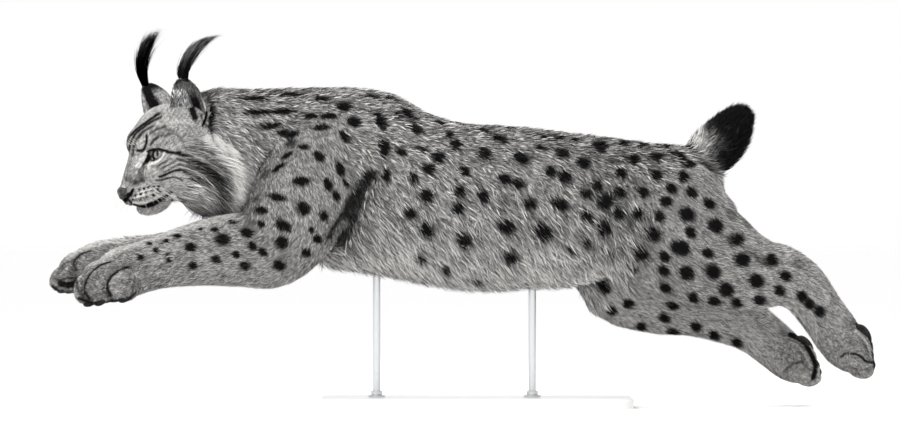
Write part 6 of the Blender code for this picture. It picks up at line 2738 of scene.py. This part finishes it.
@dataclass
class Paws:
    """Dark pads under the paws and the small claws at the toes."""

    finish: bpy.types.Material
    claws: StrandTree
    voxel: float = 0.0016

    @staticmethod
    def pad_lumps(paw: Paw) -> list[Lump]:
        """The pads of a paw in its own frame, before its scale.

        Args:
            paw: The paw.

        Returns:
            Four toe pads and the three lobes of the main pad.
        """
        outward = paw_frame(paw).to_3x3() @ Vector((0, 1, 0))
        side = 1.0 if outward.y * paw.place[1] > 0 else -1.0
        made = [
            Lump(ahead + 9, -across * side, high - rz + 6.2, rx * 0.48, ry * 0.62, 8, 10)
            for ahead, across, high, rx, ry, rz in paw.digits
        ]
        lobes = ((-16, 0, -30, 20, 15, 11), (-22, 14, -27, 15, 12, 10), (-22, -14, -27, 15, 12, 10))
        made += records(Lump, *lobes)
        return made

    def build(self) -> list:
        """Makes pads and claws of all four paws.

        Returns:
            The pieces.
        """
        made = []
        for paw in PAWS:
            place = paw_frame(paw)
            scaled = [
                Lump(*(getattr(row, key) * paw.scale for key in ("x", "y", "z", "rx", "ry", "rz")), row.pitch)
                for row in self.pad_lumps(paw)
            ]
            pads = fused(f"pads_{paw.name}", [lump(row, place) for row in scaled], self.voxel, 4, 0.0003)
            dress_in(pads, self.finish)
            made.append(pads)
            lines = []
            for row in self.pad_lumps(paw)[:4]:
                line = []
                for t in np.linspace(0, 1, 7):
                    spot = Vector((row.x + 9 + 9 * t, row.y, row.z + 13 - 8 * t * t)) * paw.scale
                    line.append(place @ (spot * MM))
                lines.append(line)
            made.append(self.claws.strands(f"claws_{paw.name}", lines, 0.0019, 0.12, 10))
        return made


@dataclass
class Stand:
    """Finishes of the stand, and a turned collar where each rod meets the base."""

    lacquer: bpy.types.Material
    steel: bpy.types.Material
    places: tuple[float, float] = (-0.150, 0.130)
    rod_radius: float = 0.0073
    base_top: float = 0.0182

    def collar(self, x: float, name: str) -> bpy.types.Object:
        """A turned collar round a rod.

        Args:
            x: Where the rod stands.
            name: The collar's name.

        Returns:
            The collar.
        """
        profile = (
            (self.rod_radius, 0.0), (0.0150, 0.0), (0.0154, 0.0005), (0.0154, 0.0028), (0.0149, 0.0034),
            (0.0112, 0.0038), (0.0106, 0.0046), (0.0106, 0.0105), (0.0100, 0.0112), (self.rod_radius, 0.0112),
        )
        sides = 64
        points = []
        for radius, high in profile:
            for k in range(sides):
                turn = 2 * math.pi * k / sides
                points.append((x + radius * math.cos(turn), radius * math.sin(turn), self.base_top + high))
        made = from_faces(name, points, grid_faces(len(profile), sides, ring=True))
        dress_in(made, self.steel)
        made.data.set_sharp_from_angle(angle=math.radians(35))
        return made

    def build(self, nodes: dict) -> list:
        """Dresses the stand's nodes and adds the collars.

        Args:
            nodes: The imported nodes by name.

        Returns:
            The collars.
        """
        for name, finish in (
            ("stand_base", self.lacquer),
            ("stand_rod_front", self.steel),
            ("stand_rod_rear", self.steel),
        ):
            nodes[name].data.materials.clear()
            nodes[name].data.materials.append(finish)
        return [self.collar(x, f"stand_collar_{i + 1}") for i, x in enumerate(self.places)]


@dataclass
class Studio:
    """A plain pale floor, soft light and the camera at the photograph's place."""

    middle: tuple[float, float] = (-0.018, 0.3447)
    width: float = 1.62
    distance: float = 12.0
    sensor: float = 36.0
    floor_size: float = 60.0

    def floor(self) -> bpy.types.Object:
        """The floor under the stand.

        Returns:
            The floor.
        """
        reach = self.floor_size
        corners = [(-reach, -reach, 0), (reach, -reach, 0), (reach, reach, 0), (-reach, reach, 0)]
        made = from_faces("floor", corners, [(0, 1, 2, 3)])
        material, _ = new_material("studio_floor", Base_Color=(0.99, 0.99, 0.99, 1.0), Roughness=0.9)
        made.data.materials.append(material)
        return made

    def light(self, name: str, place: tuple, size: float, power: float) -> None:
        """A soft square light that faces the middle of the object.

        Args:
            name: Its name.
            place: Where it stands.
            size: Its side in metres.
            power: Its power in watts.
        """
        data = bpy.data.lights.new(name, "AREA")
        data.shape = "SQUARE"
        data.size = size
        data.energy = power
        made = bpy.data.objects.new(name, data)
        bpy.context.scene.collection.objects.link(made)
        made.location = place
        away = Vector(place) - Vector((self.middle[0], 0, self.middle[1]))
        made.rotation_mode = "QUATERNION"
        made.rotation_quaternion = away.to_track_quat("Z", "Y")

    def build(self) -> bpy.types.Object:
        """Sets floor, lights, world and camera.

        Returns:
            The floor.
        """
        scene = bpy.context.scene
        scene.view_settings.view_transform = "Standard"
        scene.view_settings.look = "None"
        world = bpy.data.worlds.new("studio")
        world.use_nodes = True
        world.node_tree.nodes["Background"].inputs["Color"].default_value = (1.0, 1.0, 1.0, 1.0)
        world.node_tree.nodes["Background"].inputs["Strength"].default_value = 1.0
        scene.world = world
        self.light("key", (-1.6, -2.2, 2.9), 1.6, 95.0)
        self.light("top", (0.6, 0.4, 3.2), 1.8, 70.0)
        camera_data = bpy.data.cameras.new("camera")
        camera_data.sensor_width = self.sensor
        camera_data.lens = self.sensor * self.distance / self.width
        camera_data.clip_end = 200.0
        camera = bpy.data.objects.new("camera", camera_data)
        scene.collection.objects.link(camera)
        camera.location = (self.middle[0], -self.distance, self.middle[1])
        camera.rotation_euler = (math.pi / 2, 0, 0)
        scene.camera = camera
        return self.floor()


FLESH = tuple(name for name in frame["nodes"] if not name.startswith(("stand_", "eye_")))


def keep(pieces: list, slot: str) -> None:
    """Makes pieces part of the object.

    Args:
        pieces: The finished pieces.
        slot: The name of a material slot; not used.
    """
    for piece in pieces:
        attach(piece, "root")
        log.info("%s kept", piece.name)


def main() -> None:
    """Builds the skin, the coat, the bare parts, the stand and the studio."""
    logging.basicConfig(level=logging.INFO, format="%(message)s")
    skin, trees = SkinBuilder().build()
    coat_map = CoatMap(skin, trees)
    coat_map.sink()
    log.info("skin: %d triangles", len(coat_map.triangles))
    marks = Markings()
    tree = tree_of(skin)
    marks.place_spots(tree, coat_map.points, coat_map.normals, coat_map.flows, coat_map.parts)
    log.info("markings: %d spots", len(marks.centres))
    coat = Coat(coat_map, marks, HairFinish().make())
    pieces = coat.build()
    rng = np.random.default_rng(2)
    bare = Hairs.at_points(coat_map)
    colours = coat.colours_of(bare, coat_map.points[:, None].repeat(2, axis=1), rng, tip=0.8)[:, 1]
    rgba = np.ones((len(colours), 4), np.float32)
    rgba[:, :3] = colours
    skin.data.color_attributes.new(COLOUR, "FLOAT_COLOR", "POINT").data.foreach_set("color", rgba.ravel())
    dress_in(skin, SkinFinish().make())
    keep([skin], "coat")
    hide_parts(*FLESH)
    keep(pieces, "coat")
    dark, light = (0.006, 0.006, 0.006, 1.0), (0.02, 0.02, 0.02, 1.0)
    lids = LeatherFinish("lid_skin", dark, light, roughness=0.3).make()
    eye_finish = EyeFinish().make()
    for side, node in ((1, "eye_left"), (-1, "eye_right")):
        made = Eye(side, eye_finish, lids).build()
        keep(made, "eye")
        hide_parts(node)
    dark, light = (0.010, 0.0095, 0.009, 1.0), (0.045, 0.043, 0.041, 1.0)
    leather = LeatherFinish("nose_leather", dark, light, shine=0.3).make()
    keep([Nose(leather).build()], "coat")
    whisker = StrandTree("whisker_body", HornFinish("whisker", (0.82, 0.81, 0.78, 1.0), 0.4).make())
    keep([Whiskers(whisker).build(tree)], "coat")
    dark, light = (0.005, 0.005, 0.005, 1.0), (0.02, 0.019, 0.018, 1.0)
    pads = LeatherFinish("pad_leather", dark, light, 620.0, 0.6, shine=0.04).make()
    claw = StrandTree("claw_body", HornFinish("claw", (0.10, 0.09, 0.08, 1.0)).make())
    keep(Paws(pads, claw).build(), "coat")
    keep(Stand(LacquerFinish().make(), SteelFinish().make()).build(frame["nodes"]), "stand_rod")
    Studio().build()
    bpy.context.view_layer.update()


if __name__ == "__main__":
    main()
